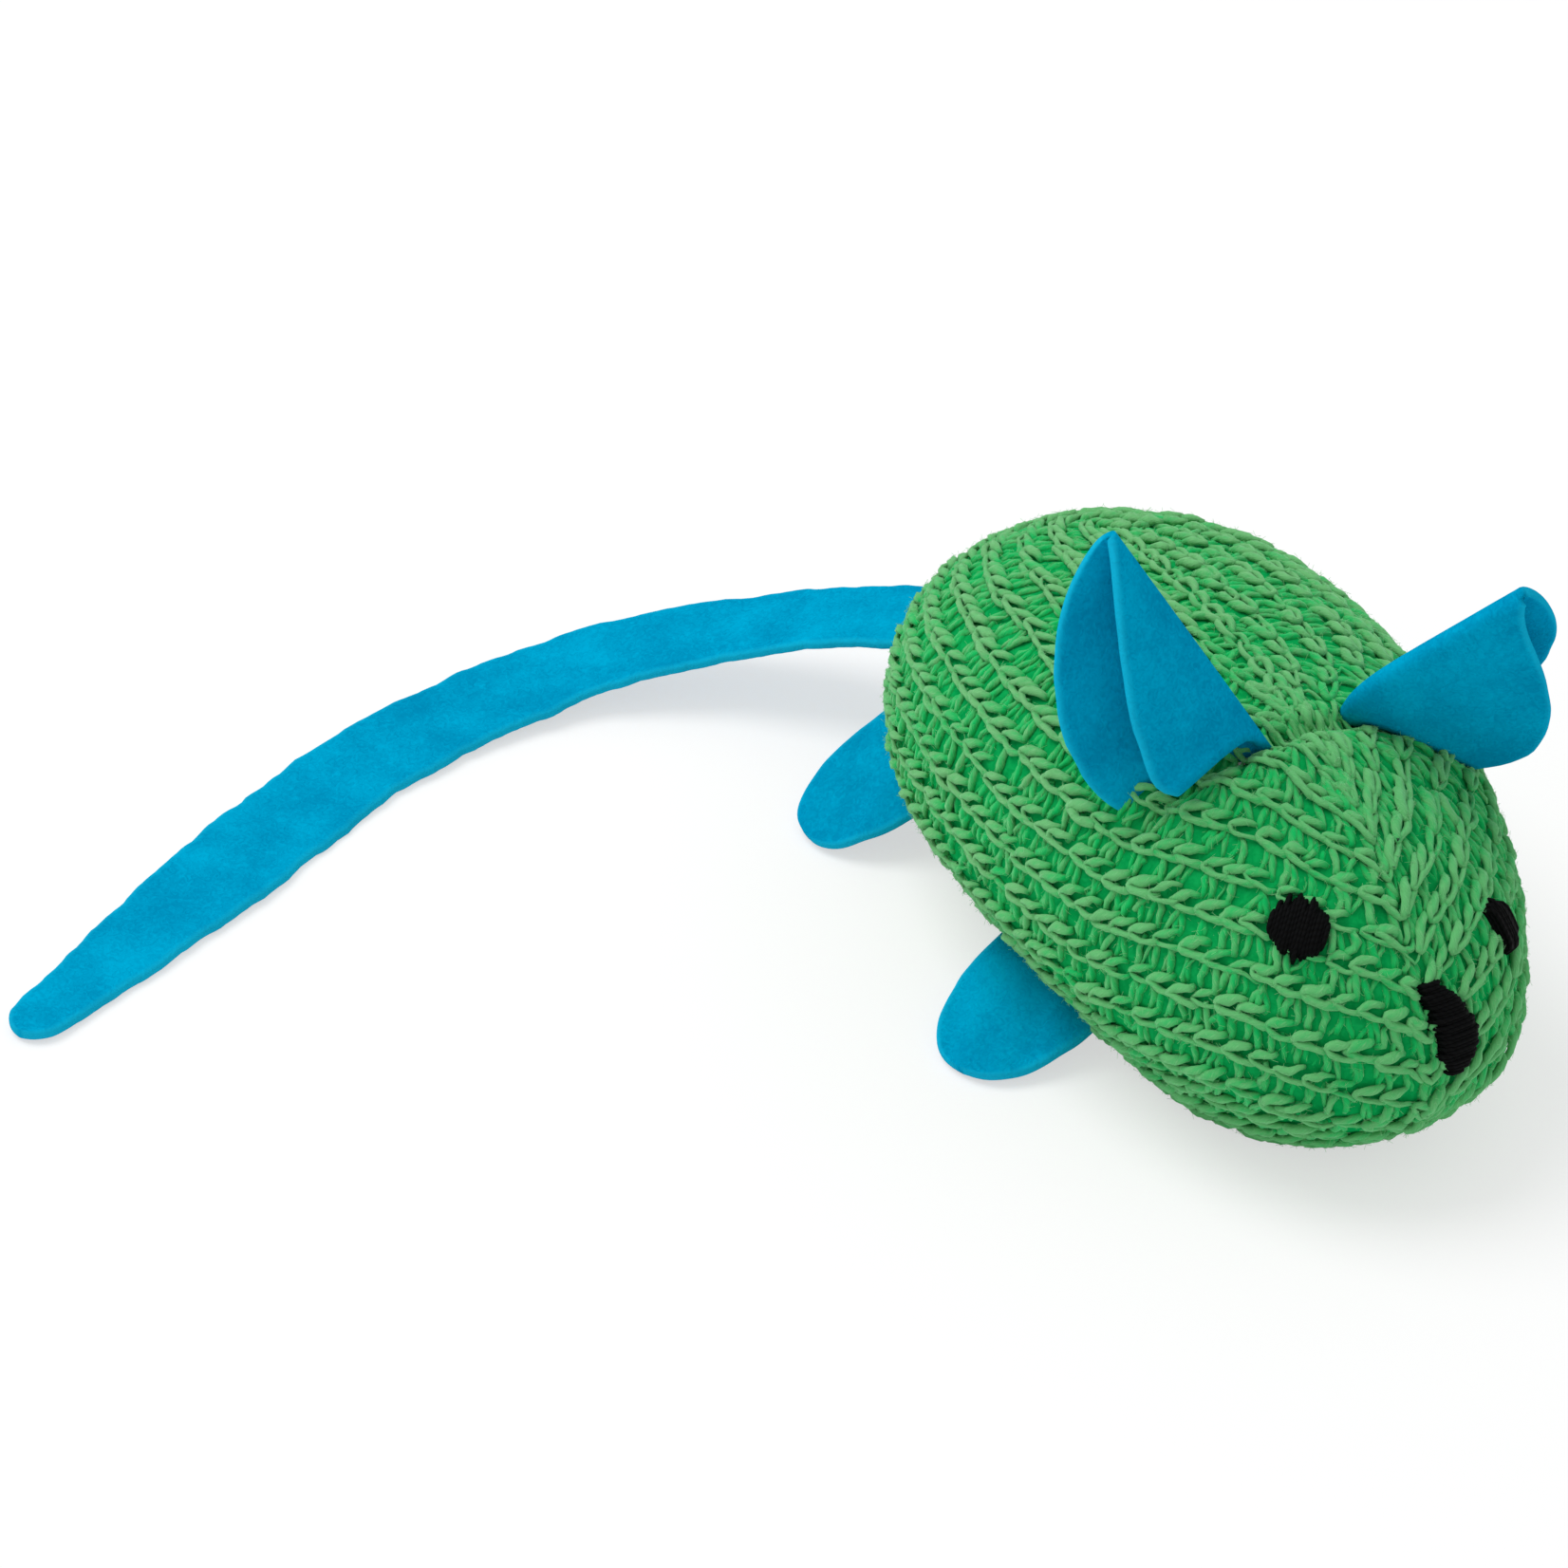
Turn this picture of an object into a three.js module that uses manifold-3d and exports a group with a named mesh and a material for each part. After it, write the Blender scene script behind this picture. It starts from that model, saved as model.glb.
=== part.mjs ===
// A crocheted catnip mouse: a stuffed cover with felt ears, feet and tail, and an embroidered face.
// Millimetres, +X to the nose, +Y to the mouse's left, +Z up, origin in the middle of the flat underside.
import * as THREE from "three";
import { mergeVertices } from "three/addons/utils/BufferGeometryUtils.js";
import Module from "manifold-3d";

const wasm = await Module();
wasm.setup();

// Driving dimensions of the stuffed body
const BODY_LENGTH = 100;
const BODY_WIDTH = 57.3;
const BODY_HEIGHT = 45;
const NOSE_NARROWING = 0.08; // share of the width lost at the nose and gained at the rear
const RIDGE_FRONT = 20.7; // how far the ridge of the back runs ahead of the middle
const RIDGE_REAR = 26.5; // and how far behind it
const BACK_DROP_NOSE = 11.8; // how far the line of the back would have sunk above the nose
const BACK_DROP_REAR = 12.1; // and above the rear end
const GIRTH_HEIGHT_SIDE = 16.4; // height of the widest line round the body
const GIRTH_HEIGHT_NOSE = 13.9;
const GIRTH_HEIGHT_REAR = 18;
const BASE_INSET = 12; // the flat underside stops this far inside the widest line
const OUTLINE_POWER = 2.25; // roundness seen from above: 2 is an ellipse, more is squarer
const CROWN_POWER = 2.45; // roundness above the widest line
const BELLY_POWER = 1.22; // roundness below it

// Crochet cover, its two seams and what fills it
const COVER_WALL = 2.4;
const SEAM_HEIGHT = 4.5; // the seam between cover and base, where the front feet are sewn in
const SEAM_THREAD = 0.8;
const SEAT_GAP = 0.3; // clearance between pieces that touch
const POUCH_X = -4; // middle of the catnip pouch
const POUCH_Z = 21;
const POUCH_LENGTH = 30;
const POUCH_RADIUS = 10;
const POUCH_WALL = 0.8;
const NECK_RADIUS = 3.2;
const NECK_LENGTH = 2.2;
const RUFFLE_RADIUS = 5.5;
const RUFFLE_LENGTH = 4;
const TIE_THICKNESS = 1;

// Embroidered face: turn is the angle round the body from the nose, rise the angle up from the widest line
const EYE_RIGHT = { turn: -29.5, rise: 45 };
const EYE_LEFT = { turn: 30, rise: 31.5 };
const NOSE = { turn: 4.5, rise: 22 };
const EYE_RADIUS = 3.4;
const NOSE_WIDTH = 7;
const NOSE_HEIGHT = 10.2;
const STITCH_PAD = 0.8; // thickness of the satin stitching

// Felt ears, each a leaf folded along its inner edge and sewn in across the head
const FELT = 1.2;
const EAR_INNER = { turn: 54, rise: 76 };
const EAR_OUTER = { turn: 66, rise: 44 };
const EAR_FOLD = 28; // length of the folded edge
const EAR_BACK = { width: 17, power: 2.4, fullness: 0.75 }; // a flap's width at the seam and how it narrows
const EAR_FRONT_RIGHT = { width: 12.3, power: 1.7, fullness: 1.05 };
const EAR_FRONT_LEFT = { width: 17, power: 3, fullness: 2 };
const EAR_SPLAY = 1; // how far the fold leans outwards at its tip
const EAR_OPENING = 6.4; // distance between the two free edges
const EAR_LEAN_RIGHT = -35; // degrees from upright, forwards positive
const EAR_LEAN_LEFT = 20;
const EAR_BEND_RIGHT = [-12, 40];
const EAR_BEND_LEFT = [-40, 25];

// Felt feet: the front ones are sewn into the base seam, the rear ones a little above it
const FOOT_WIDTH = 17.5;
const FOOT_POWER = 2.4; // roundness of the toe end
const FOOT_FLOOR_GAP = 0.3;
const FOOT_BEND = [-20, 30]; // degrees, up positive
// Aim is the toe's direction in degrees from the nose, height is where the foot is sewn in
const FRONT_FOOT = { turn: 84.5, aim: 66, length: 15.2, height: SEAM_HEIGHT };
const REAR_FOOT = { turn: 142, aim: 88, length: 16, height: 8.5 };

// Felt tail: one strip, cut into three stretches that bend against each other
const TAIL_TURN = -176;
const TAIL_WIDTH = 13.5;
const TAIL_TIP_WIDTH = 6;
const TAIL_TAPER_FROM = 0.74; // share of the length where the strip starts to narrow
const TAIL_TAPER_POWER = 1.3; // above 1 the narrowing starts gently
const TAIL_JOINT_GAP = 0.8;
const TAIL_FLOOR_GAP = 0.3;
const TAIL_ROOT_HEIGHT = 15.5;
const TAIL_STRETCHES = ["tail_base", "tail_middle", "tail_tip"];
const TAIL_LIFT = [-15, 60];
const TAIL_CURL = [-50, 50];
const TAIL_REACH = 124.6; // how far the tip lies to the mouse's right of the root
// Route from the root, as shares of the reach ahead and to the left, and of the root's height that is left
const TAIL_ROUTE = [
  [-0.089, -0.091, 0.8],
  [-0.167, -0.194, 0.48],
  [-0.216, -0.339, 0.16],
  [-0.171, -0.555, 0],
  [-0.021, -0.795, 0],
  [0.116, -1, 0],
];

// Fineness of the meshes
const TURN_STEPS = 48;
const CROWN_STEPS = 9;
const BELLY_STEPS = 4;
const FOLD_STEPS = 10;
const LEVEL_STEPS = 9;
const POINT_STOP = 6; // degrees: a rounded end stops this far short of its point
const TUCK = 4; // how far felt runs into the body before it is trimmed to the cover
const STITCH_REACH = 7.2; // depth of the prism that cuts an embroidered pad out of its layer

const yarn = new THREE.MeshStandardMaterial({ color: 0x3c9959, roughness: 0.9, metalness: 0 });
const felt = new THREE.MeshStandardMaterial({ color: 0x0198c3, roughness: 0.95, metalness: 0 });
const blackThread = new THREE.MeshStandardMaterial({ color: 0x0a0c0d, roughness: 0.7, metalness: 0 });
const fibreFill = new THREE.MeshStandardMaterial({ color: 0xf2f0ea, roughness: 1, metalness: 0 });
const muslin = new THREE.MeshStandardMaterial({ color: 0xe6dcc4, roughness: 0.9, metalness: 0 });
const driedLeaf = new THREE.MeshStandardMaterial({ color: 0x6f7d45, roughness: 1, metalness: 0 });

const mouse = new THREE.Group();
const hinges = {};
const UP = new THREE.Vector3(0, 0, 1);
const radians = THREE.MathUtils.degToRad;
const degrees = THREE.MathUtils.radToDeg;
const signedPower = (value, power) => Math.sign(value) * Math.abs(value) ** power;
const fractions = (steps) => Array.from({ length: steps + 1 }, (_, step) => step / steps);

// Solids in and out of the boolean library
function solid(geometry) {
  const bare = new THREE.BufferGeometry();
  bare.setAttribute("position", geometry.getAttribute("position"));
  bare.setIndex(geometry.index);
  const merged = mergeVertices(bare, 1e-4);
  const vertProperties = merged.getAttribute("position").array;
  const triVerts = new Uint32Array(merged.index.array);
  return new wasm.Manifold(new wasm.Mesh({ numProp: 3, vertProperties, triVerts }));
}

function geometryOf(body) {
  const mesh = body.getMesh();
  const geometry = new THREE.BufferGeometry();
  geometry.setAttribute("position", new THREE.BufferAttribute(mesh.vertProperties, 3));
  geometry.setIndex(new THREE.BufferAttribute(mesh.triVerts, 1));
  geometry.computeVertexNormals();
  return geometry;
}

function addPiece(name, body, material) {
  const mesh = new THREE.Mesh(geometryOf(body), material);
  mesh.name = name;
  mouse.add(mesh);
}

function block(low, high) {
  const geometry = new THREE.BoxGeometry(...high.map((value, axis) => value - low[axis]));
  geometry.translate(...high.map((value, axis) => (value + low[axis]) / 2));
  return solid(geometry);
}

// Closed surface through equal loops of points, in which point j faces point last - j across the thickness
function loft(loops) {
  const count = loops[0].length;
  const half = count / 2;
  const index = [];
  const at = (row, j) => row * count + (j % count);
  const quad = (a, b, c, d) => index.push(a, b, c, a, c, d);
  for (let row = 0; row + 1 < loops.length; row++) {
    for (let j = 0; j < count; j++) quad(at(row, j), at(row, j + 1), at(row + 1, j + 1), at(row + 1, j));
  }
  const last = loops.length - 1;
  for (let j = 0; j + 1 < half; j++) {
    quad(at(0, j + 1), at(0, j), at(0, count - 1 - j), at(0, count - 2 - j));
    quad(at(last, j), at(last, j + 1), at(last, count - 2 - j), at(last, count - 1 - j));
  }
  const geometry = new THREE.BufferGeometry().setFromPoints(loops.flat());
  geometry.setIndex(index);
  return solid(geometry);
}

// The stuffed body: from the base edge out to the girth and up to the ridge of the back
function girthHeight(along) {
  const end = along > 0 ? GIRTH_HEIGHT_NOSE : GIRTH_HEIGHT_REAR;
  return GIRTH_HEIGHT_SIDE + (end - GIRTH_HEIGHT_SIDE) * along ** 2;
}

function backHeight(x) {
  const drop = x > 0 ? BACK_DROP_NOSE : BACK_DROP_REAR;
  return BODY_HEIGHT - drop * (x / (BODY_LENGTH / 2)) ** 2;
}

function skinPoint(turn, rise, inset = 0) {
  const along = signedPower(Math.cos(radians(turn)), 2 / OUTLINE_POWER);
  const across = signedPower(Math.sin(radians(turn)), 2 / OUTLINE_POWER);
  const girthX = (BODY_LENGTH / 2 - inset) * along;
  const girthY = (BODY_WIDTH / 2 - inset) * across * (1 - NOSE_NARROWING * along);
  const girthZ = girthHeight(along);
  const level = Math.abs(Math.cos(radians(rise)));
  const steep = Math.abs(Math.sin(radians(rise)));
  if (rise < 0) {
    const baseShare = 1 - BASE_INSET / Math.hypot(girthX, girthY);
    const share = baseShare + (1 - baseShare) * level ** (2 / BELLY_POWER);
    const z = inset + (girthZ - inset) * (1 - steep ** (2 / BELLY_POWER));
    return new THREE.Vector3(girthX * share, girthY * share, z);
  }
  const ridgeX = (along > 0 ? RIDGE_FRONT : RIDGE_REAR) * along;
  const reach = level ** (2 / CROWN_POWER);
  const climb = steep ** (2 / CROWN_POWER);
  const x = ridgeX + (girthX - ridgeX) * reach;
  return new THREE.Vector3(x, girthY * reach, girthZ + (backHeight(x) - inset - girthZ) * climb);
}

// The angle below the girth at which the skin has a given height
function bellyRise(turn, height) {
  const along = signedPower(Math.cos(radians(turn)), 2 / OUTLINE_POWER);
  const steep = (1 - height / girthHeight(along)) ** (BELLY_POWER / 2);
  return -degrees(Math.asin(steep));
}

function skinNormal(turn, rise) {
  const step = 0.5;
  const round = skinPoint(turn + step, rise).sub(skinPoint(turn - step, rise));
  const upwards = skinPoint(turn, rise + step).sub(skinPoint(turn, rise - step));
  return round.cross(upwards).normalize();
}

function bodyGeometry(inset) {
  const belly = fractions(BELLY_STEPS).map((share) => -90 + 90 * share);
  const crown = fractions(CROWN_STEPS).map((share) => 90 * share);
  const rises = [...belly, ...crown.slice(1)];
  const points = [new THREE.Vector3(0, 0, inset)];
  const index = [];
  const at = (row, step) => 1 + row * TURN_STEPS + (step % TURN_STEPS);
  rises.forEach((rise, row) => {
    for (let step = 0; step < TURN_STEPS; step++) {
      points.push(skinPoint((360 * step) / TURN_STEPS, rise, inset));
      if (row === 0) index.push(0, at(0, step + 1), at(0, step));
      else {
        index.push(at(row - 1, step), at(row - 1, step + 1), at(row, step + 1));
        index.push(at(row - 1, step), at(row, step + 1), at(row, step));
      }
    }
  });
  const geometry = new THREE.BufferGeometry().setFromPoints(points);
  geometry.setIndex(index);
  return geometry;
}

const bodySolid = (inset) => solid(bodyGeometry(inset));

// Where the ears meet the head, and so where the cover is sewn across
const EAR_SEAM_X = (skinPoint(EAR_INNER.turn, EAR_INNER.rise).x + skinPoint(EAR_OUTER.turn, EAR_OUTER.rise).x) / 2;
const SEAM_HALF_GAP = SEAM_THREAD / 2 + SEAT_GAP;
const FAR = BODY_LENGTH + BODY_WIDTH + BODY_HEIGHT;

function covers() {
  const shell = bodySolid(0).subtract(bodySolid(COVER_WALL));
  const seamTop = SEAM_HEIGHT + SEAM_HALF_GAP;
  const rear = block([-FAR, -FAR, seamTop], [EAR_SEAM_X - SEAM_HALF_GAP, FAR, FAR]);
  const front = block([EAR_SEAM_X + SEAM_HALF_GAP, -FAR, seamTop], [FAR, FAR, FAR]);
  const under = block([-FAR, -FAR, -FAR], [FAR, FAR, SEAM_HEIGHT - SEAM_HALF_GAP]);
  addPiece("body_cover", shell.intersect(rear), yarn);
  addPiece("head_cover", shell.intersect(front), yarn);
  addPiece("base_cover", shell.intersect(under), yarn);
}

// A strand of seam thread lies in the middle of the cover's wall, along each seam
function seamThreads() {
  const half = SEAM_THREAD / 2;
  const strand = bodySolid(COVER_WALL / 2 - half).subtract(bodySolid(COVER_WALL / 2 + half));
  const ring = block([-FAR, -FAR, SEAM_HEIGHT - half], [FAR, FAR, SEAM_HEIGHT + half]);
  const archFoot = SEAM_HEIGHT + half + SEAT_GAP;
  const arch = block([EAR_SEAM_X - half, -FAR, archFoot], [EAR_SEAM_X + half, FAR, FAR]);
  addPiece("base_seam_thread", strand.intersect(ring), yarn);
  addPiece("ear_seam_thread", strand.intersect(arch), yarn);
}

// Pouch profile: a truncated ellipse up to the tied neck, then a flared ruffle, drawn in by a given amount
function pouchProfile(drawIn) {
  const halfLength = POUCH_LENGTH / 2 - drawIn;
  const radius = POUCH_RADIUS - drawIn;
  const neck = NECK_RADIUS - drawIn;
  const neckAngle = 180 - degrees(Math.asin(neck / radius));
  return fractions(LEVEL_STEPS).map((share) => {
    const angle = radians(neckAngle * share);
    return new THREE.Vector2(radius * Math.sin(angle), -halfLength * Math.cos(angle));
  });
}

function turned(profile) {
  const geometry = new THREE.LatheGeometry(profile, TURN_STEPS / 2);
  geometry.rotateZ(-Math.PI / 2);
  geometry.translate(POUCH_X, 0, POUCH_Z);
  return solid(geometry);
}

function pouch() {
  const outside = pouchProfile(0);
  const inside = pouchProfile(POUCH_WALL);
  const neckStart = outside.at(-1).y;
  const neckEnd = neckStart + NECK_LENGTH;
  const ruffleEnd = neckEnd + RUFFLE_LENGTH;
  const mouth = [
    new THREE.Vector2(NECK_RADIUS, neckEnd),
    new THREE.Vector2(RUFFLE_RADIUS, ruffleEnd),
    new THREE.Vector2(RUFFLE_RADIUS - POUCH_WALL, ruffleEnd),
    new THREE.Vector2(NECK_RADIUS - POUCH_WALL, neckEnd),
  ];
  addPiece("catnip_pouch", turned([...outside, ...mouth, ...inside.reverse()]), muslin);
  const leaves = pouchProfile(POUCH_WALL + SEAT_GAP);
  addPiece("catnip_fill", turned([...leaves, new THREE.Vector2(0, leaves.at(-1).y)]), driedLeaf);
  const tieRadius = NECK_RADIUS + SEAT_GAP + TIE_THICKNESS / 2;
  const tie = new THREE.TorusGeometry(tieRadius, TIE_THICKNESS / 2, 6, TURN_STEPS / 2);
  tie.rotateY(Math.PI / 2);
  tie.translate(POUCH_X + (neckStart + neckEnd) / 2, 0, POUCH_Z);
  addPiece("pouch_tie", solid(tie), yarn);
  return ruffleEnd;
}

// The stuffing is two wads that close round the pouch
function stuffing(ruffleEnd) {
  const radius = POUCH_RADIUS + SEAT_GAP;
  const pocketRear = radius - POUCH_LENGTH / 2 - SEAT_GAP;
  const pocket = new THREE.CapsuleGeometry(radius, ruffleEnd - pocketRear, LEVEL_STEPS, TURN_STEPS / 2);
  pocket.rotateZ(-Math.PI / 2);
  pocket.translate(POUCH_X + (ruffleEnd + pocketRear) / 2, 0, POUCH_Z);
  const wad = bodySolid(COVER_WALL + SEAT_GAP).subtract(solid(pocket));
  const half = SEAT_GAP / 2;
  const rear = block([-FAR, -FAR, -FAR], [POUCH_X - half, FAR, FAR]);
  const front = block([POUCH_X + half, -FAR, -FAR], [FAR, FAR, FAR]);
  addPiece("stuffing_rear", wad.intersect(rear), fibreFill);
  addPiece("stuffing_front", wad.intersect(front), fibreFill);
}

// Embroidery: a pad that follows the skin, inside an outline pressed through it along the skin's normal
function noseOutline() {
  const right = NOSE_WIDTH / 2;
  const top = NOSE_HEIGHT / 2;
  const outline = new THREE.Shape();
  outline.moveTo(-right, top * 0.9);
  outline.bezierCurveTo(right * 0.1, top * 1.2, right, top * 0.6, right, -top * 0.2);
  outline.quadraticCurveTo(right * 0.7, -top, -right * 0.45, -top);
  outline.closePath();
  return outline;
}

function eyeOutline() {
  const outline = new THREE.Shape();
  outline.absarc(0, 0, EYE_RADIUS, 0, 2 * Math.PI);
  return outline;
}

function embroidery(name, place, outline) {
  const shape = { depth: STITCH_REACH, bevelEnabled: false, curveSegments: 12 };
  const prism = new THREE.ExtrudeGeometry(outline, shape);
  prism.translate(0, 0, -STITCH_REACH / 2);
  const out = skinNormal(place.turn, place.rise);
  const left = UP.clone().cross(out).normalize();
  const basis = new THREE.Matrix4().makeBasis(left, out.clone().cross(left), out);
  prism.applyMatrix4(basis.setPosition(skinPoint(place.turn, place.rise)));
  const layer = bodySolid(-SEAT_GAP - STITCH_PAD).subtract(bodySolid(-SEAT_GAP));
  addPiece(name, layer.intersect(solid(prism)), blackThread);
}

// Trims felt to the cover, at rest and over the range that it bends through about its hinge
function trimToBody(body, hinge, range) {
  const cover = bodyGeometry(-SEAT_GAP);
  return [0, ...range].reduce((trimmed, angle) => {
    const turn = new THREE.Matrix4().makeRotationAxis(hinge.axis, radians(-angle));
    const back = new THREE.Matrix4().makeTranslation(hinge.place.clone().negate());
    const swing = new THREE.Matrix4().makeTranslation(hinge.place).multiply(turn).multiply(back);
    return trimmed.subtract(solid(cover.clone().applyMatrix4(swing)));
  }, body);
}

// An ear in its own frame: out along the seam, up the fold, and towards the face
function earLoop(side, width, opening, toPoint) {
  const steps = fractions(FOLD_STEPS).map((share) => side * (2 * share - 1));
  const curve = (sway, wall) => {
    const flap = sway > 0 ? width.front : width.back;
    const out = (flap + wall) * Math.abs(sway) ** 2.2 - wall;
    return toPoint(out, sway * (opening / 2 + wall));
  };
  const outside = steps.map((sway) => curve(sway, FELT));
  const inside = steps.map((sway) => curve(sway, 0));
  return [...outside, ...inside.reverse()];
}

function ear(name, side, frontFlap, lean, range) {
  const inner = skinPoint(side * EAR_INNER.turn, EAR_INNER.rise);
  const outer = skinPoint(side * EAR_OUTER.turn, EAR_OUTER.rise);
  const out = outer.clone().sub(inner).normalize();
  const middleTurn = (side * (EAR_INNER.turn + EAR_OUTER.turn)) / 2;
  const normal = skinNormal(middleTurn, (EAR_INNER.rise + EAR_OUTER.rise) / 2);
  const front = normal.clone().cross(out).multiplyScalar(-side).normalize();
  const axis = out.clone().multiplyScalar(side);
  const up = front.clone().cross(axis).applyAxisAngle(axis, radians(lean));
  const facing = front.clone().applyAxisAngle(axis, radians(lean));
  const rising = up.clone().addScaledVector(out, EAR_SPLAY / EAR_FOLD);
  const place = (height) => (across, ahead) =>
    inner.clone().addScaledVector(out, across).addScaledVector(rising, height).addScaledVector(facing, ahead);
  const loopAt = (level, height) => {
    const climbed = Math.sin(radians(level));
    const flap = ({ width, power, fullness }) => width * (1 - climbed ** power) ** fullness;
    const opening = EAR_OPENING * Math.cos(radians(level));
    return earLoop(side, { back: flap(EAR_BACK), front: flap(frontFlap) }, opening, place(height));
  };
  const levels = fractions(LEVEL_STEPS).map((share) => (90 - POINT_STOP) * share);
  const loops = levels.map((level) => loopAt(level, EAR_FOLD * Math.sin(radians(level))));
  const leaf = loft([loopAt(0, -TUCK), ...loops]);
  hinges[name] = { place: inner.clone().add(outer).multiplyScalar(0.5), axis, range };
  addPiece(name, trimToBody(leaf, hinges[name], range), felt);
}

// A strip of felt across a direction of travel, as one loop of four points
function stripLoop(centre, travel, width) {
  const across = travel.clone().cross(UP).normalize();
  const thick = across.clone().cross(travel).normalize();
  const corner = (sideways, upwards) =>
    centre.clone().addScaledVector(across, (sideways * width) / 2).addScaledVector(thick, (upwards * FELT) / 2);
  return [corner(-1, 1), corner(1, 1), corner(1, -1), corner(-1, -1)];
}

function foot(name, side, { turn, aim, length, height }) {
  const root = skinPoint(side * turn, bellyRise(turn, height));
  const toeHeight = FELT / 2 + FOOT_FLOOR_GAP;
  const slope = Math.asin((root.z - toeHeight) / length);
  const heading = radians(side * aim);
  const flat = new THREE.Vector3(Math.cos(heading), Math.sin(heading), 0);
  const travel = flat.clone().multiplyScalar(Math.cos(slope)).addScaledVector(UP, -Math.sin(slope));
  const loopAt = (level, reach) => {
    const width = FOOT_WIDTH * Math.cos(radians(level)) ** (2 / FOOT_POWER);
    return stripLoop(root.clone().addScaledVector(travel, reach), travel, width);
  };
  const levels = fractions(LEVEL_STEPS).map((share) => (90 - POINT_STOP) * share);
  const loops = levels.map((level) => loopAt(level, length * Math.sin(radians(level))));
  hinges[name] = { place: root, axis: flat.clone().cross(UP).normalize(), range: FOOT_BEND };
  addPiece(name, trimToBody(loft([loopAt(0, -TUCK), ...loops]), hinges[name], FOOT_BEND), felt);
}

function tailRoute() {
  const root = skinPoint(TAIL_TURN, bellyRise(TAIL_TURN, TAIL_ROOT_HEIGHT));
  const floor = FELT / 2 + TAIL_FLOOR_GAP;
  const route = TAIL_ROUTE.map(([ahead, left, high]) => {
    const z = floor + (root.z - floor) * high;
    return new THREE.Vector3(root.x + TAIL_REACH * ahead, root.y + TAIL_REACH * left, z);
  });
  const inwards = root.clone().sub(route[0]).setLength(TUCK);
  return new THREE.CatmullRomCurve3([root.clone().add(inwards), root, ...route]);
}

function tail() {
  const route = tailRoute();
  const length = route.getLength();
  const rootShare = TUCK / length;
  const shares = fractions(TAIL_STRETCHES.length).map((share) => rootShare + (1 - rootShare) * share);
  const halfGap = TAIL_JOINT_GAP / 2 / length;
  const widthAt = (share) => {
    const taper = Math.max(0, (share - TAIL_TAPER_FROM) / (1 - TAIL_TAPER_FROM));
    return TAIL_WIDTH + (TAIL_TIP_WIDTH - TAIL_WIDTH) * taper ** TAIL_TAPER_POWER;
  };
  const loopAt = (share) => stripLoop(route.getPointAt(share), route.getTangentAt(share), widthAt(share));
  TAIL_STRETCHES.forEach((name, step) => {
    const first = step === 0;
    const last = step === TAIL_STRETCHES.length - 1;
    const start = first ? 0 : shares[step] + halfGap;
    const end = last ? 1 : shares[step + 1] - halfGap;
    const stretch = loft(fractions(2 * LEVEL_STEPS).map((share) => loopAt(start + (end - start) * share)));
    const heading = route.getTangentAt(shares[step]);
    const axis = heading.clone().cross(UP).normalize();
    hinges[name] = { place: route.getPointAt(shares[step]), axis, range: first ? TAIL_LIFT : TAIL_CURL };
    addPiece(name, first ? trimToBody(stretch, hinges[name], TAIL_LIFT) : stretch, felt);
  });
}

covers();
seamThreads();
stuffing(pouch());
embroidery("eye_right", EYE_RIGHT, eyeOutline());
embroidery("eye_left", EYE_LEFT, eyeOutline());
embroidery("nose", NOSE, noseOutline());
ear("ear_right", -1, EAR_FRONT_RIGHT, EAR_LEAN_RIGHT, EAR_BEND_RIGHT);
ear("ear_left", 1, EAR_FRONT_LEFT, EAR_LEAN_LEFT, EAR_BEND_LEFT);
foot("foot_front_right", -1, FRONT_FOOT);
foot("foot_rear_right", -1, REAR_FOOT);
foot("foot_front_left", 1, FRONT_FOOT);
foot("foot_rear_left", 1, REAR_FOOT);
tail();
mouse.userData.hinges = hinges;

export default mouse;
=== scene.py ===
"""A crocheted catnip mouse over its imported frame: yarn cover, felt ears, feet and tail, sewn face, filling.

Sizes are in millimetres and degrees, +X to the nose, +Y to the mouse's left, +Z up. Meshes are in metres.
"""

import bpy
import numpy as np
from mathutils import Matrix


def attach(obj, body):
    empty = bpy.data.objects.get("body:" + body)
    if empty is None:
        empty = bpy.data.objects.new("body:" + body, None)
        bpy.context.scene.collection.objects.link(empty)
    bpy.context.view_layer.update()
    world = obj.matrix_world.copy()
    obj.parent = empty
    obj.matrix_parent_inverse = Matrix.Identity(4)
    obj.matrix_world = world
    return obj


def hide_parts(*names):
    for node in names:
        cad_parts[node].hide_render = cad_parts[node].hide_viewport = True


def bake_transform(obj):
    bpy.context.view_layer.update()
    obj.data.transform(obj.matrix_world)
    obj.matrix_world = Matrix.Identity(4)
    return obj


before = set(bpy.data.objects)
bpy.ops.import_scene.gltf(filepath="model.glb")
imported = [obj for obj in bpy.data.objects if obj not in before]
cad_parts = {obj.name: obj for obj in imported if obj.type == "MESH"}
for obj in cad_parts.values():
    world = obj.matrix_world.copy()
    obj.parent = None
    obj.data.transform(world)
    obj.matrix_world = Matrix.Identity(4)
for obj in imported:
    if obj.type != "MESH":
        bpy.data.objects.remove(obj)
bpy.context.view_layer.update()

MM = 0.001
LUCK = np.random.default_rng(7)
UP = np.array([0.0, 0.0, 1.0])

# Stuffed body, as in the part's source
BODY_LENGTH = 100
BODY_WIDTH = 57.3
BODY_HEIGHT = 45
NOSE_NARROWING = 0.08
RIDGE_FRONT = 20.7
RIDGE_REAR = 26.5
BACK_DROP_NOSE = 11.8
BACK_DROP_REAR = 12.1
GIRTH_HEIGHT_SIDE = 16.4
GIRTH_HEIGHT_NOSE = 13.9
GIRTH_HEIGHT_REAR = 18
BASE_INSET = 12
OUTLINE_POWER = 2.25
CROWN_POWER = 2.45
BELLY_POWER = 1.22

# Crochet: rows run round the body, counted from the edge of the base up to the ridge of the back
ROWS = 14
STITCH = 2.85  # width of one stitch along its row
COVER_DEPTH = 1.5  # from the body's outline in to the level above which the yarn's heights are given
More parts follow.
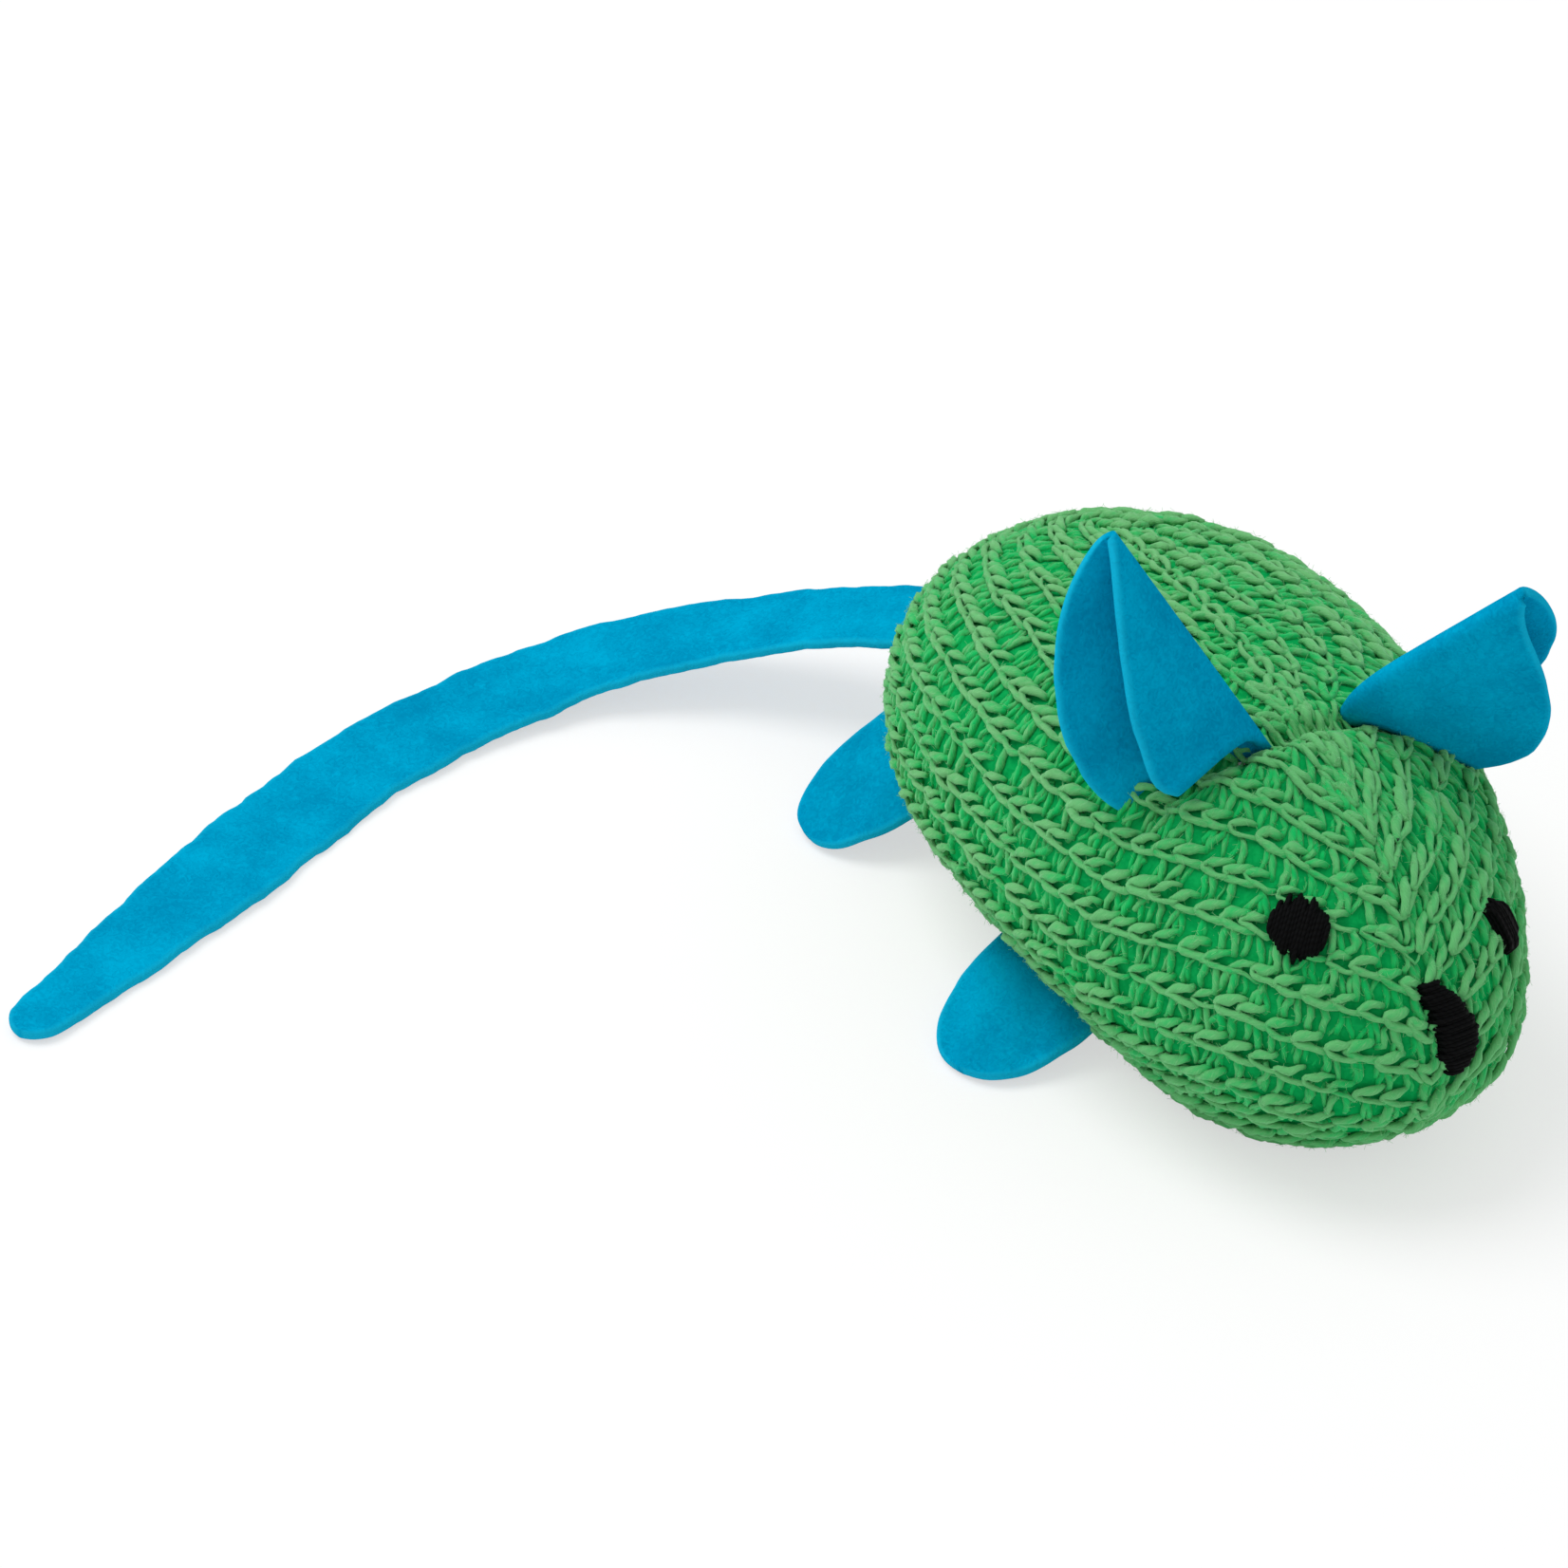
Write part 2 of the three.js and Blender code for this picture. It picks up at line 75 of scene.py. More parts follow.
# How many rows higher a row runs on the head, by the turn from the nose: it dips on the midline
ROW_LIFT = [(0, -0.2), (4, 0.3), (12, 0.6), (24, 0.8), (40, 1.0), (54, 0.7), (68, 0.2), (88, 0)]
LIFT_FADE_BASE = 3  # rows over which the lift fades in above the base, and out below the ridge
LIFT_FADE_RIDGE = 1.5
ROW_HEIGHT = 4.7  # about, for the rows under the base
BASE_ROWS = 3
BASE_FLATTENING = 0.7  # the base's stitches are pressed flat
BACKING_HEIGHT = 0.42  # of the surface seen between the stitches
RUMP_FROM = -30  # behind this the back's stitches are the rump's, ahead of it the flanks'
STRAND_LUCK = (0.12, 0.045, 0.13, 0.05)  # how unevenly strands lie: along, up, out and in radius
CROSSING_LUCK = 1.8  # how much more unevenly the strands across the gaps lie
THINNEST = 0.07  # the least radius of a strand
PLIES = 2  # the yarn's twisted plies, how deep the grooves between them are, and the length of one turn
PLY_DEPTH = 0.15
PLY_PITCH = 4.5
STRAND_SIDES = 6
LOOP_SAMPLES = 17  # points along a loop, along a post and along a strand across a gap
POST_SAMPLES = 6
CROSSING_SAMPLES = 5
LOOP_TOP = 0.99  # share of the way up past which a loop is left out, and the same for posts and crossings
POST_TOP = 1.05
SEAM_HEIGHT = 4.5  # of the line along which the base is sewn on
SEAM_DENT = 2.0  # depth and width of the sewn line between the ears
SEAM_WIDTH = 1.2
SEAM_PUFF = 0.6  # how far the head puffs out ahead of that line, at which distance and how widely
SEAM_PUFF_AHEAD = 4
SEAM_PUFF_WIDTH = 2.6
SEAM_FADE = (28, 40)  # heights between which the dent fades in
WHIP = {"radii": 0.3, "sides": 5}  # the yarn of the whip stitches along the seams
WHIP_SAMPLES = 7
EAR_WHIPS = {"count": 9, "span": 5.5, "reach": 1.6, "slant": 0.5, "luck": 0.1}
EAR_WHIP_LIE = {"below": 0.55, "sag": 0.4, "sag_span": 6, "dent": 0.8, "ends": 0.8}
BASE_WHIPS = {"step": 4.0, "luck": 0.4, "turn": 2.6, "from": 0.01, "climb": 0.085}
BASE_WHIP_HEIGHT = 0.35
BASE_WHIP_ARCH = 0.7
FIBRES = 24000
FIBRE_RADIUS = 0.018
FIBRE_LENGTH = (0.3, 0.9)
FIBRE_SPREAD = 1.3  # radians either way from straight out of a strand
FIBRE_LIFT = 0.45  # the steepest a fibre leaves its strand, as a slope
FIBRE_FLOOR = 0.1  # fibres that would come closer to the floor are left out

# Embroidered face: turn round the body from the nose, rise up from the widest line
# An eye's threads cover an oval from one share of its half width to another, so the left one is a half-moon
EYE_RIGHT = {"turn": -29.5, "rise": 45, "width": 6.1, "height": 6.5, "lean": 8, "span": (-0.93, 0.93)}
EYE_LEFT = {"turn": 29.2, "rise": 32, "width": 4.9, "height": 6.3, "lean": 0, "span": (-0.2, 0.8)}
NOSE = {"turn": 5.3, "rise": 22}
NOSE_WIDTH = 7
NOSE_HEIGHT = 9.8
# The nose's edges, in shares of its width: one straight and leaning, one round and fullest below the middle
NOSE_STRAIGHT = {"place": -0.34, "lean": -0.15}
NOSE_ROUND = {"place": 0.44, "fullest": -1.5, "above": 0.25, "below": 0.37, "power": 1.5}
NOSE_LUCK = 0.2  # how unevenly the threads end
EYE_LUCK = 0.28
NOSE_SPACING = 1.25  # from thread to thread, in thread radii
EYE_SPACING = 1.2
THREAD = 0.3
THREAD_ENDS = 0.6  # share of its radius that a thread keeps at its ends
SATIN_RISE = 1.45  # how high a satin stitch stands over its ends, which lie below the tops of the loops
SATIN_ROOT = -0.9
SATIN_LUCK = 0.06
SATIN_POWER = 8  # how flat a satin stitch is on top
PADDING_DEPTHS = (0, 0.45, 0.9)  # the top layer of threads and the padding threads under it

# Felt
FELT = 1.2
FELT_EDGE = 0.35  # share of its thickness that felt keeps where it is cut
FELT_CUT = 0.8  # how far the paler cut shows
EDGE_LUCK = 0.012  # how unevenly ears and feet are cut, as a share of their width, and over which lengths
EAR_EDGE_WAVE = 11
FOOT_EDGE_WAVE = 9
EAR_MESH = (35, 41)  # points along and across a sheet of felt
FOOT_MESH = (26, 31)
TAIL_MESH = ((80, 25), (80, 25), (110, 25))
EAR_TIP = 86  # degrees up a quarter turn at which the tip of an ear stops, and the toe of a foot
FOOT_TIP = 87
EAR_INNER = {"turn": 54, "rise": 76}
EAR_OUTER = {"turn": 66, "rise": 44}
EAR_FOLD = 28
EAR_OPENING = 6.4
EAR_CURVE = 2.2  # the distance from an ear's root to the second point given for its bend
EAR_BEND = 8  # the length over which an ear bends
EAR_SHARE = 0.8  # share of its rectangle that an ear keeps, and the same for a foot
EAR_FRONT_LIFT = 1.5  # how far the front flap's lower edge stands off the head
EAR_TUCK = 2.5  # how far the rest of that edge runs into the yarn
# An ear's flaps: width at the seam, and how it narrows; fold: its place along the seam, its lean and its bow
EAR_RIGHT = {
    "lean": -35,
    "back": {"width": 17, "power": 2.4, "fullness": 0.75, "tuck_in": 0.18, "corner": 9},
    "front": {"width": 12.3, "power": 1.7, "fullness": 1.05, "tuck_in": 0.12, "corner": 4},
    "fold": (-0.6, 1.6, 0),
}
EAR_LEFT = {
    "lean": 20,
    "back": {"width": 19.5, "power": 2.4, "fullness": 0.75, "tuck_in": 0.18, "corner": 9},
    "front": {"width": 20.2, "power": 3, "fullness": 1.6, "tuck_in": 0.3, "corner": 7},
    "fold": (0, 0, -3.2),
}
FOOT_WIDTH = 17.5
FOOT_POWER = 2.4
FRONT_FOOT = {"turn": 84.5, "aim": 66, "length": 15.2, "height": SEAM_HEIGHT}
REAR_FOOT = {"turn": 142, "aim": 88, "length": 16, "height": 8.5}
FOOT_TUCK = 8  # how far a foot runs into the body
FOOT_BEND = 7  # the distance from a foot's root to the second point given for its bend
FOOT_SHARE = 0.87
FOOT_WAVE = 0.25  # how far a foot's felt waves out of flat, and over which length
FOOT_WAVE_LENGTH = 16
FLOOR_GAP = 0.3
TAIL_TURN = -176
TAIL_WIDTH = 13.5
TAIL_TIP_WIDTH = 6
TAIL_TAPER_FROM = 0.74
TAIL_TAPER_POWER = 1.3
TAIL_ROOT_HEIGHT = 15.5
TAIL_ROOT_DEPTH = 4
TAIL_TUCK = 5  # how much deeper still the strip runs into the body
TAIL_ROUNDING = 3
TAIL_BEND = 9  # the distance each way from a joint to the points given for the tail's bend
TAIL_WAVE = 0.2
TAIL_WAVE_LENGTH = 34
TAIL_EDGE_WAVES = ((13, 3), (17, 4))  # length and seed of the long waves in each edge
TAIL_EDGE_LUCK = (0.3, 0.1)  # how far the long and the short waves go
TAIL_SHORT_WAVE = 4
TAIL_REACH = 124.6
# Points of the tail's centre line after its root: X and Y in shares of its reach, Z of the root's height
TAIL_ROUTE = [
    (-0.089, -0.091, 0.8),
    (-0.167, -0.194, 0.48),
    (-0.216, -0.339, 0.16),
    (-0.171, -0.555, 0),
    (-0.021, -0.795, 0),
    (0.116, -1, 0),
]

# Inside, not seen
STUFFING_INSET = 2.9
LUMPS = 0.4
POCKET_ROOM = 1.2  # between pouch and filling, and at the pouch's ends
POCKET_END_ROOM = 0.4
POUCH_X = -4
POUCH_Z = 21
POUCH_LENGTH = 30
POUCH_RADIUS = 10
POUCH_WALL = 0.8
NECK_RADIUS = 3.2
NECK_LENGTH = 2.2
RUFFLE_RADIUS = 5.5
RUFFLE_LENGTH = 4
GATHERS = 14
GATHER_DEPTH = 0.07
TIE_RADIUS = 0.42
TIE_SEAT = 0.45  # from the neck out to the middle of the tie
TIE_START = 0.5  # from the neck's rear end, and the width that it takes up
TIE_WIDTH = 0.9
LEAF_INSET = 1.4
LEAF_BITS = 260
LEAF_BIT_LENGTH = (0.4, 1.0)
LEAF_BIT_RADIUS = 0.25

# Colours, as sRGB from 0 to 255: for what is mottled, a darker and a lighter tone
# The yarn's deep tone is painted bounce light low between the stitches, its crest tone painted haze of fuzz
YARN_DEEP = (12, 186, 95)
YARN_CREST = (110, 185, 117)
# painted haze: the pale colour that fuzz would scatter over the crests
YARN_PAINTED_HAZE = (146, 210, 150)
YARN_SHEEN = (160, 225, 175)
# How much the yarn's paleness varies: with lint and streaks, by strand, in patches and across a ply
YARN_VARIES = {"lint": 0.4, "strand": 0.2, "patch": 0.3, "ply": 0.15}
YARN_PALES = (0.15, 0.8)  # heights, as shares of the cover's depth, between which the yarn gets pale
HEAD_PAINTED_SHADE = 0.22  # painted shade: how much less pale the yarn is on the head, which turns away from the lamp
# how strongly the painted haze streaks the crests
PAINTED_HAZE_SHARE = 0.4
FIBRE_TONES = ((120, 200, 128), (150, 214, 154))
BACKING_TONES = ((6, 150, 75), (18, 168, 87))
FELT_TONES = ((0, 133, 176), (0, 164, 206))
FELT_CUT_TONE = (24, 180, 214)
FELT_SHEEN = (0, 170, 215)
THREAD_TONES = ((0, 0, 0), (5, 6, 7))
FILL_TONES = ((232, 228, 220), (250, 248, 243))
MUSLIN_TONES = ((212, 200, 172), (234, 224, 200))
LEAF_TONES = ((74, 84, 40), (128, 138, 78))

# Camera and light
CAMERA_PLACE = (348.11, -216.18, 306.5)
CAMERA_RIGHT = (0.4115, 0.9111, 0.0240)
CAMERA_UP = (-0.5312, 0.2183, 0.8186)
CAMERA_BACK = (0.7406, -0.3496, 0.5738)
LENS = 102.4
SENSOR = 36
LAMP_PLACE = (-400, -450, 1150)
LAMP_SIZE = 0.9
LAMP_POWER = 9.0
WORLD_LIGHT = 0.66
FLOOR_REACH = 2000.0
FLOOR_WHITE = 0.96
FLOOR_GLOW = 0.6  # share of the floor that the camera sees as plain white


# Small helpers for arrays of points
def signed_power(value, power):
    """A power of a value's size, with the value's sign."""
    return np.sign(value) * np.abs(value) ** power


def unit(vectors):
    """Vectors divided by their lengths."""
    return vectors / np.maximum(np.linalg.norm(vectors, axis=-1, keepdims=True), 1e-9)


def ease(share):
    """A smooth step: three times the square of a share less twice its cube."""
    share = np.clip(share, 0, 1)
    return share * share * (3 - 2 * share)


def smooth_path(control, samples):
    """A curve through control points (..., k, n): Catmull-Rom pieces, sampled at equal parameter steps."""
    control = np.asarray(control, float)
    ends = (2 * control[..., :1, :] - control[..., 1:2, :], 2 * control[..., -1:, :] - control[..., -2:-1, :])
    knots = np.concatenate([ends[0], control, ends[1]], axis=-2)
    place = np.linspace(0, control.shape[-2] - 1, samples)
    piece = np.minimum(place.astype(int), control.shape[-2] - 2)
    t = (place - piece)[:, None]
    before, start, end, after = (knots[..., piece + step, :] for step in range(4))
    slope = end - before
    bend = 2 * before - 5 * start + 4 * end - after
    twist = 3 * start - before - 3 * end + after
    return start + 0.5 * t * (slope + t * (bend + t * twist))


def distances(line):
    """Distances along lines of points (..., k, 3), each from its start."""
    steps = np.linalg.norm(np.diff(line, axis=-2), axis=-1)
    return np.concatenate([np.zeros((*steps.shape[:-1], 1)), steps.cumsum(axis=-1)], axis=-1)


def turned_about(vector, axis, angle):
    """A vector turned about a unit axis by an angle in degrees."""
    angle = np.radians(angle)
    across = np.cross(axis, vector)
    return vector * np.cos(angle) + across * np.sin(angle) + axis * (axis @ vector) * (1 - np.cos(angle))


def even_sway(count):
    """Shares from -1 to 1 across a sheet, closer together towards its edges."""
    return np.sin(np.linspace(-np.pi / 2, np.pi / 2, count))[None, :]


def wobble(place, wavelength, seed):
    """A gentle irregular wave along a length, from three sines with seeded phases."""
    luck = np.random.default_rng(seed)
    waves = zip((1, 1.7, 2.9), (0.5, 0.3, 0.2), luck.random(3))
    return sum(size * np.sin(2 * np.pi * (rate * place / wavelength + phase)) for rate, size, phase in waves)


# The stuffed body
def girth_height(along):
    """Height of the widest line: it changes with the square of the way from the middle to nose or rear."""
    end = np.where(along > 0, GIRTH_HEIGHT_NOSE, GIRTH_HEIGHT_REAR)
    return GIRTH_HEIGHT_SIDE + (end - GIRTH_HEIGHT_SIDE) * along**2


def ridge_height(x):
    """Height of the back's ridge, which drops with the square of the way to nose or rear."""
    drop = np.where(x > 0, BACK_DROP_NOSE, BACK_DROP_REAR)
    return BODY_HEIGHT - drop * (x / (BODY_LENGTH / 2)) ** 2


def skin(turn, rise, inset=0.0):
    """Point of the body's surface, by the turn from the nose and the rise from the widest line.

    That line is a superellipse, and superellipse arcs run from it down to the flat base and up to the ridge.
    """
    turn, rise = np.broadcast_arrays(np.radians(turn), np.radians(rise))
    along = signed_power(np.cos(turn), 2 / OUTLINE_POWER)
    across = signed_power(np.sin(turn), 2 / OUTLINE_POWER)
    girth_x = (BODY_LENGTH / 2 - inset) * along
    girth_y = (BODY_WIDTH / 2 - inset) * across * (1 - NOSE_NARROWING * along)
    girth_z = girth_height(along)
    level, steep = np.abs(np.cos(rise)), np.abs(np.sin(rise))
    base_share = 1 - BASE_INSET / np.hypot(girth_x, girth_y)
    belly = base_share + (1 - base_share) * level ** (2 / BELLY_POWER)
    belly_z = inset + (girth_z - inset) * (1 - steep ** (2 / BELLY_POWER))
    ridge_x = np.where(along > 0, RIDGE_FRONT, RIDGE_REAR) * along
    reach, climb = level ** (2 / CROWN_POWER), steep ** (2 / CROWN_POWER)
    x = ridge_x + (girth_x - ridge_x) * reach
    crown_z = girth_z + (ridge_height(x) - inset - girth_z) * climb
    above = np.stack([x, girth_y * reach, crown_z], axis=-1)
    below = np.stack([girth_x * belly, girth_y * belly, belly_z], axis=-1)
    return np.where((rise >= 0)[..., None], above, below)


def skin_normal(turn, rise, inset=0.0):
    """Direction out of the skin: across a small step round the body and a small step up it."""
    step = 0.5
    steepest = 89.9
    above, below = np.minimum(rise + step, steepest), np.maximum(rise - step, -steepest)
    round_body = skin(turn + step, rise, inset) - skin(turn - step, rise, inset)
    return unit(np.cross(round_body, skin(turn, above, inset) - skin(turn, below, inset)))


def belly_rise(turn, height):
    """The angle below the girth at which the skin has a given height: the belly's arc solved for its rise."""
    along = signed_power(np.cos(np.radians(turn)), 2 / OUTLINE_POWER)
    return -np.degrees(np.arcsin((1 - height / girth_height(along)) ** (BELLY_POWER / 2)))


def meridian_table():
    """Rise against the share of the way from the base edge up to the ridge, for whole degrees of turn."""
    turns = np.arange(-180, 181)
    rises = np.linspace(-90, 90, 721)
    lines = distances(skin(turns[:, None], rises[None, :], COVER_DEPTH))
    even = np.linspace(0, 1, 481)
    return np.stack([np.interp(even, run / run[-1], rises) for run in lines])


MERIDIANS = meridian_table()


def rise_at(turn, share):
    """The table of meridians, read between its entries."""
    turn, share = np.broadcast_arrays(turn, share)
    column = np.mod(turn + 180, 360)
    row = np.clip(share, 0, 1) * (MERIDIANS.shape[1] - 1)
    i = np.minimum(column.astype(int), 359)
    j = np.minimum(row.astype(int), MERIDIANS.shape[1] - 2)
    s, t = column - i, row - j
    low = MERIDIANS[i, j] * (1 - s) + MERIDIANS[i + 1, j] * s
    high = MERIDIANS[i, j + 1] * (1 - s) + MERIDIANS[i + 1, j + 1] * s
    return low * (1 - t) + high * t


def middle_of_ears():
    """Where along the body the ears are sewn: halfway between their inner and outer ends."""
    ends = [skin(end["turn"], end["rise"])[0] for end in (EAR_INNER, EAR_OUTER)]
    return sum(ends) / 2


EAR_SEAM_X = middle_of_ears()


def dent(points):
    """How far the sewn line between the ears draws the cover in, less the puff of the head ahead of it.

    Both are bell curves along the body, and fade in with the height.
    """
    ahead = points[..., 0] - EAR_SEAM_X
    low, high = SEAM_FADE
    crease = SEAM_DENT * np.exp(-((ahead / SEAM_WIDTH) ** 2))
    puff = SEAM_PUFF * np.exp(-(((ahead - SEAM_PUFF_AHEAD) / SEAM_PUFF_WIDTH) ** 2))
    return (crease - puff) * ease((points[..., 2] - low) / (high - low))


def cover_point(turn, share, height):
    """Point at a height above the cover's inner level, and the direction out of the cover there.

    A share from 0 to 1 climbs from the base edge to the ridge, and one below 0 runs in under the flat base.
    """
    turn, share = np.broadcast_arrays(turn, share)
    side = np.clip(share, 0, 1)
    step_round, step_up, highest = 0.6, 0.005, 0.99
    beside = turn + step_round
    lower = np.clip(side, step_up, highest) - step_up
    upper = lower + 2 * step_up
    place = skin(turn, rise_at(turn, side), COVER_DEPTH)
    round_body = skin(beside, rise_at(beside, side), COVER_DEPTH) - place
    up = skin(turn, rise_at(turn, upper), COVER_DEPTH) - skin(turn, rise_at(turn, lower), COVER_DEPTH)
    out = unit(np.cross(round_body, up))
    under = (share < 0)[..., None]
    edge = place * (1, 1, 0)
    inwards = np.minimum(-share * ROWS * ROW_HEIGHT, np.linalg.norm(edge, axis=-1))[..., None]
    place = np.where(under, place - inwards * unit(edge), place)
    out = np.where(under, -UP, out)
    flattened = np.where(share < 0, BASE_FLATTENING, 1.0) * height
    return place + (flattened - dent(place))[..., None] * out, out


# Meshes
def join(nets):
    """One net from several: points, round faces with their map, flat end faces, named values per point."""
    starts = np.cumsum([0] + [len(net["points"]) for net in nets[:-1]])
    names = nets[0]["values"]
    return {
        "points": np.concatenate([net["points"] for net in nets]),
        "faces": [face + start for net, start in zip(nets, starts) for face in net["faces"]],
        "ends": [face + start for net, start in zip(nets, starts) for face in net["ends"]],
        "map": np.concatenate([net["map"] for net in nets]),
        "values": {name: np.concatenate([net["values"][name] for net in nets]) for name in names},
    }


def plain_net(points, faces, **values):
    """A net of round faces only, without a map."""
    corners = sum(face.size for face in faces)
    return {"points": points, "faces": faces, "ends": [], "map": np.zeros((corners, 2)), "values": values}


def tubes(paths, radii, up, sides, plies=0, **values):
    """Closed tubes along many paths at once: a ring across the path at each point and a flat cap at each end.

    With plies the ring has as many lobes, which wind along the tube like twisted yarn.
    """
    count, length = paths.shape[:2]
    run = distances(paths)
    ahead = np.gradient(paths, axis=1)
    across = unit(np.cross(ahead, up))
    over = unit(np.cross(across, ahead))
    angle = 2 * np.pi * np.arange(sides) / sides
    ring = np.cos(angle)[:, None] * across[:, :, None] + np.sin(angle)[:, None] * over[:, :, None]
    lobes = np.cos(plies * (angle - 2 * np.pi * run[..., None] / PLY_PITCH))
    radii = np.broadcast_to(radii, (count, length))[..., None] * (1 + (PLY_DEPTH if plies else 0) * lobes)
    points = paths[:, :, None] + radii[..., None] * ring
    index = np.arange(count * length * sides).reshape(count, length, sides)
    beside = np.roll(index, -1, axis=2)
    quads = np.stack([index[:, :-1], index[:, 1:], beside[:, 1:], beside[:, :-1]], axis=-1)
    caps = np.concatenate([index[:, 0], index[:, -1, ::-1]])
    u = np.arange(sides + 1) / sides
    corner = np.zeros(quads.shape + (2,))
    corner[..., 0] = np.stack([u[:-1], u[:-1], u[1:], u[1:]], axis=-1)
    corner[..., 1] = np.stack([run[:, :-1], run[:, 1:], run[:, 1:], run[:, :-1]], axis=-1)[:, :, None]
    spread = {name: np.broadcast_to(value, (count, length)) for name, value in values.items()}
    return {
        "points": points.reshape(-1, 3),
        "faces": [quads.reshape(-1, 4)],
        "ends": [caps],
        "map": corner.reshape(-1, 2),
        "values": {name: np.repeat(value.ravel(), sides) for name, value in spread.items()},
    }


def grid_faces(rows, columns, closed=False):
    """Quads of a grid of points, joined round its columns where it is closed."""
    index = np.arange(rows * columns).reshape(rows, columns)
    if closed:
        index = np.concatenate([index, index[:, :1]], axis=1)
    quads = np.stack([index[:-1, :-1], index[:-1, 1:], index[1:, 1:], index[1:, :-1]], axis=-1)
    return quads.reshape(-1, 4)


def welded(net):
    """The same net with points that share a place made one."""
    points, index = np.unique(np.round(net["points"], 4), axis=0, return_inverse=True)
    return {**net, "points": points, "faces": [index.reshape(-1)[face] for face in net["faces"]]}


def closed_body(rings, bottom):
    """A closed net from rings of points, from the base's edge up to the ridge, with a fan over the base."""
    rows, count = rings.shape[:2]
    ring = np.arange(count)
    fan = np.stack([np.roll(ring, -1), ring, np.full(count, rows * count)], axis=-1)
    points = np.concatenate([rings.reshape(-1, 3), [(0, 0, bottom)]])
    return welded(plain_net(points, [grid_faces(rows, count, closed=True), fan]))


def lathe(x, radius, waves=0, depth=0.0):
    """A closed surface round an axis along X through the pouch, from a profile between points on that axis.

    Its circles can be waved like gathers, with a depth given as a share of the radius along the profile.
    """
    sides = 96
    angle = 2 * np.pi * np.arange(sides) / sides
    depth = np.broadcast_to(depth, radius.shape)
    round_axis = radius[1:-1, None] * (1 + depth[1:-1, None] * np.cos(waves * angle))
    along = np.broadcast_to(x[1:-1, None], round_axis.shape)
    rings = np.stack([along, round_axis * np.cos(angle), round_axis * np.sin(angle)], axis=-1)
    points = np.concatenate([[[x[0], 0, 0]], rings.reshape(-1, 3), [[x[-1], 0, 0]]]) + (0, 0, POUCH_Z)
    first = 1 + np.arange(sides)
    last = first + (len(rings) - 1) * sides
    start = np.stack([np.zeros_like(first), np.roll(first, -1), first], axis=-1)
    end = np.stack([np.full_like(last, len(points) - 1), last, np.roll(last, -1)], axis=-1)
    return plain_net(points, [grid_faces(len(rings), sides, closed=True) + 1, start, end])


def new_piece(name, net, material):
    """A mesh object from a net whose points are in millimetres."""
    faces = net["faces"] + net["ends"]
    corners = np.concatenate([face.ravel() for face in faces])
    sizes = np.concatenate([np.full(len(face), face.shape[1]) for face in faces])
    smooth = np.arange(len(sizes)) < sum(len(face) for face in net["faces"])
    uv = np.zeros((len(corners), 2), np.float32)
    uv[: len(net["map"])] = net["map"]
    mesh = bpy.data.meshes.new(name)
    mesh.vertices.add(len(net["points"]))
    mesh.vertices.foreach_set("co", (net["points"] * MM).astype(np.float32).ravel())
    mesh.loops.add(len(corners))
    mesh.loops.foreach_set("vertex_index", corners.astype(np.int32))
    mesh.polygons.add(len(sizes))
    mesh.polygons.foreach_set("loop_start", (np.cumsum(sizes) - sizes).astype(np.int32))
    mesh.polygons.foreach_set("use_smooth", smooth)
    mesh.update(calc_edges=True)
    layer = mesh.uv_layers.new(name="Map")
    layer.data.foreach_set("uv", uv.ravel())
    for key, value in net["values"].items():
        attribute = mesh.attributes.new(key, "FLOAT", "POINT")
        attribute.data.foreach_set("value", value.astype(np.float32))
    mesh.materials.append(material)
    piece = bpy.data.objects.new(name, mesh)
    bpy.context.scene.collection.objects.link(piece)
    return piece


# Shaders
class Shade:
    """A socket in a material's node tree. Sums, differences and products of sockets add Math nodes."""

    def __init__(self, tree, socket=None):
        self.tree = tree
        self.socket = socket

    def node(self, kind, settings=None, inputs=None, output=0):
        """Any other node: its settings are set first, then the values or links of its sockets."""
        made = self.tree.nodes.new("ShaderNode" + kind)
        for name, value in (settings or {}).items():
            setattr(made, name, value)
        for name, value in (inputs or {}).items():
            if isinstance(value, Shade):
                self.tree.links.new(value.socket, made.inputs[name])
            else:
                made.inputs[name].default_value = value
        return Shade(self.tree, made.outputs[output])

    def maths(self, operation, *values):
        """A Math node on values or sockets."""
        return self.node("Math", {"operation": operation}, dict(enumerate(values)))

    def __add__(self, other):
        return self.maths("ADD", self, other)

    def __sub__(self, other):
        return self.maths("SUBTRACT", self, other)

    def __rsub__(self, other):
        return self.maths("SUBTRACT", other, self)

    def __mul__(self, other):
        return self.maths("MULTIPLY", self, other)

    __radd__ = __add__
    __rmul__ = __mul__

    def wave(self):
        """A sine of this value, from 0 to 1."""
        return self.maths("SINE", self) * 0.5 + 0.5

    def beside(self, output):
        """Another output of the same node."""
        return Shade(self.tree, self.socket.node.outputs[output])

    def between(self, low, high):
        """0 below low, 1 above high, and a smooth step between them."""
        settings = {"interpolation_type": "SMOOTHSTEP"}
        return self.node("MapRange", settings, {"Value": self, "From Min": low, "From Max": high})

    def blend(self, low, high):
        """A colour between two, by this value."""
        ends = [end if isinstance(end, Shade) else colour(end) for end in (low, high)]
        return self.node("Mix", {"data_type": "RGBA"}, {0: self, 6: ends[0], 7: ends[1]}, output=2)


def colour(tone):
    """Shader colour of an sRGB colour given in 0 to 255."""
    value = np.array(tone) / 255
    linear = np.where(value <= 0.04045, value / 12.92, ((value + 0.055) / 1.055) ** 2.4)
    return (*linear.tolist(), 1)


def new_material(name, **constants):
    """A material with one principled shader, its constants set, and a Shade to start expressions from."""
    material = bpy.data.materials.new(name)
    material.use_nodes = True
    shader = material.node_tree.nodes["Principled BSDF"]
    for key, value in constants.items():
        shader.inputs[key.replace("_", " ")].default_value = value
    return material, shader, Shade(material.node_tree)


def connect(shade, shader, **sockets):
    """Links from Shades to the shader's sockets."""
    for key, value in sockets.items():
        shade.tree.links.new(value.socket, shader.inputs[key.replace("_", " ")])


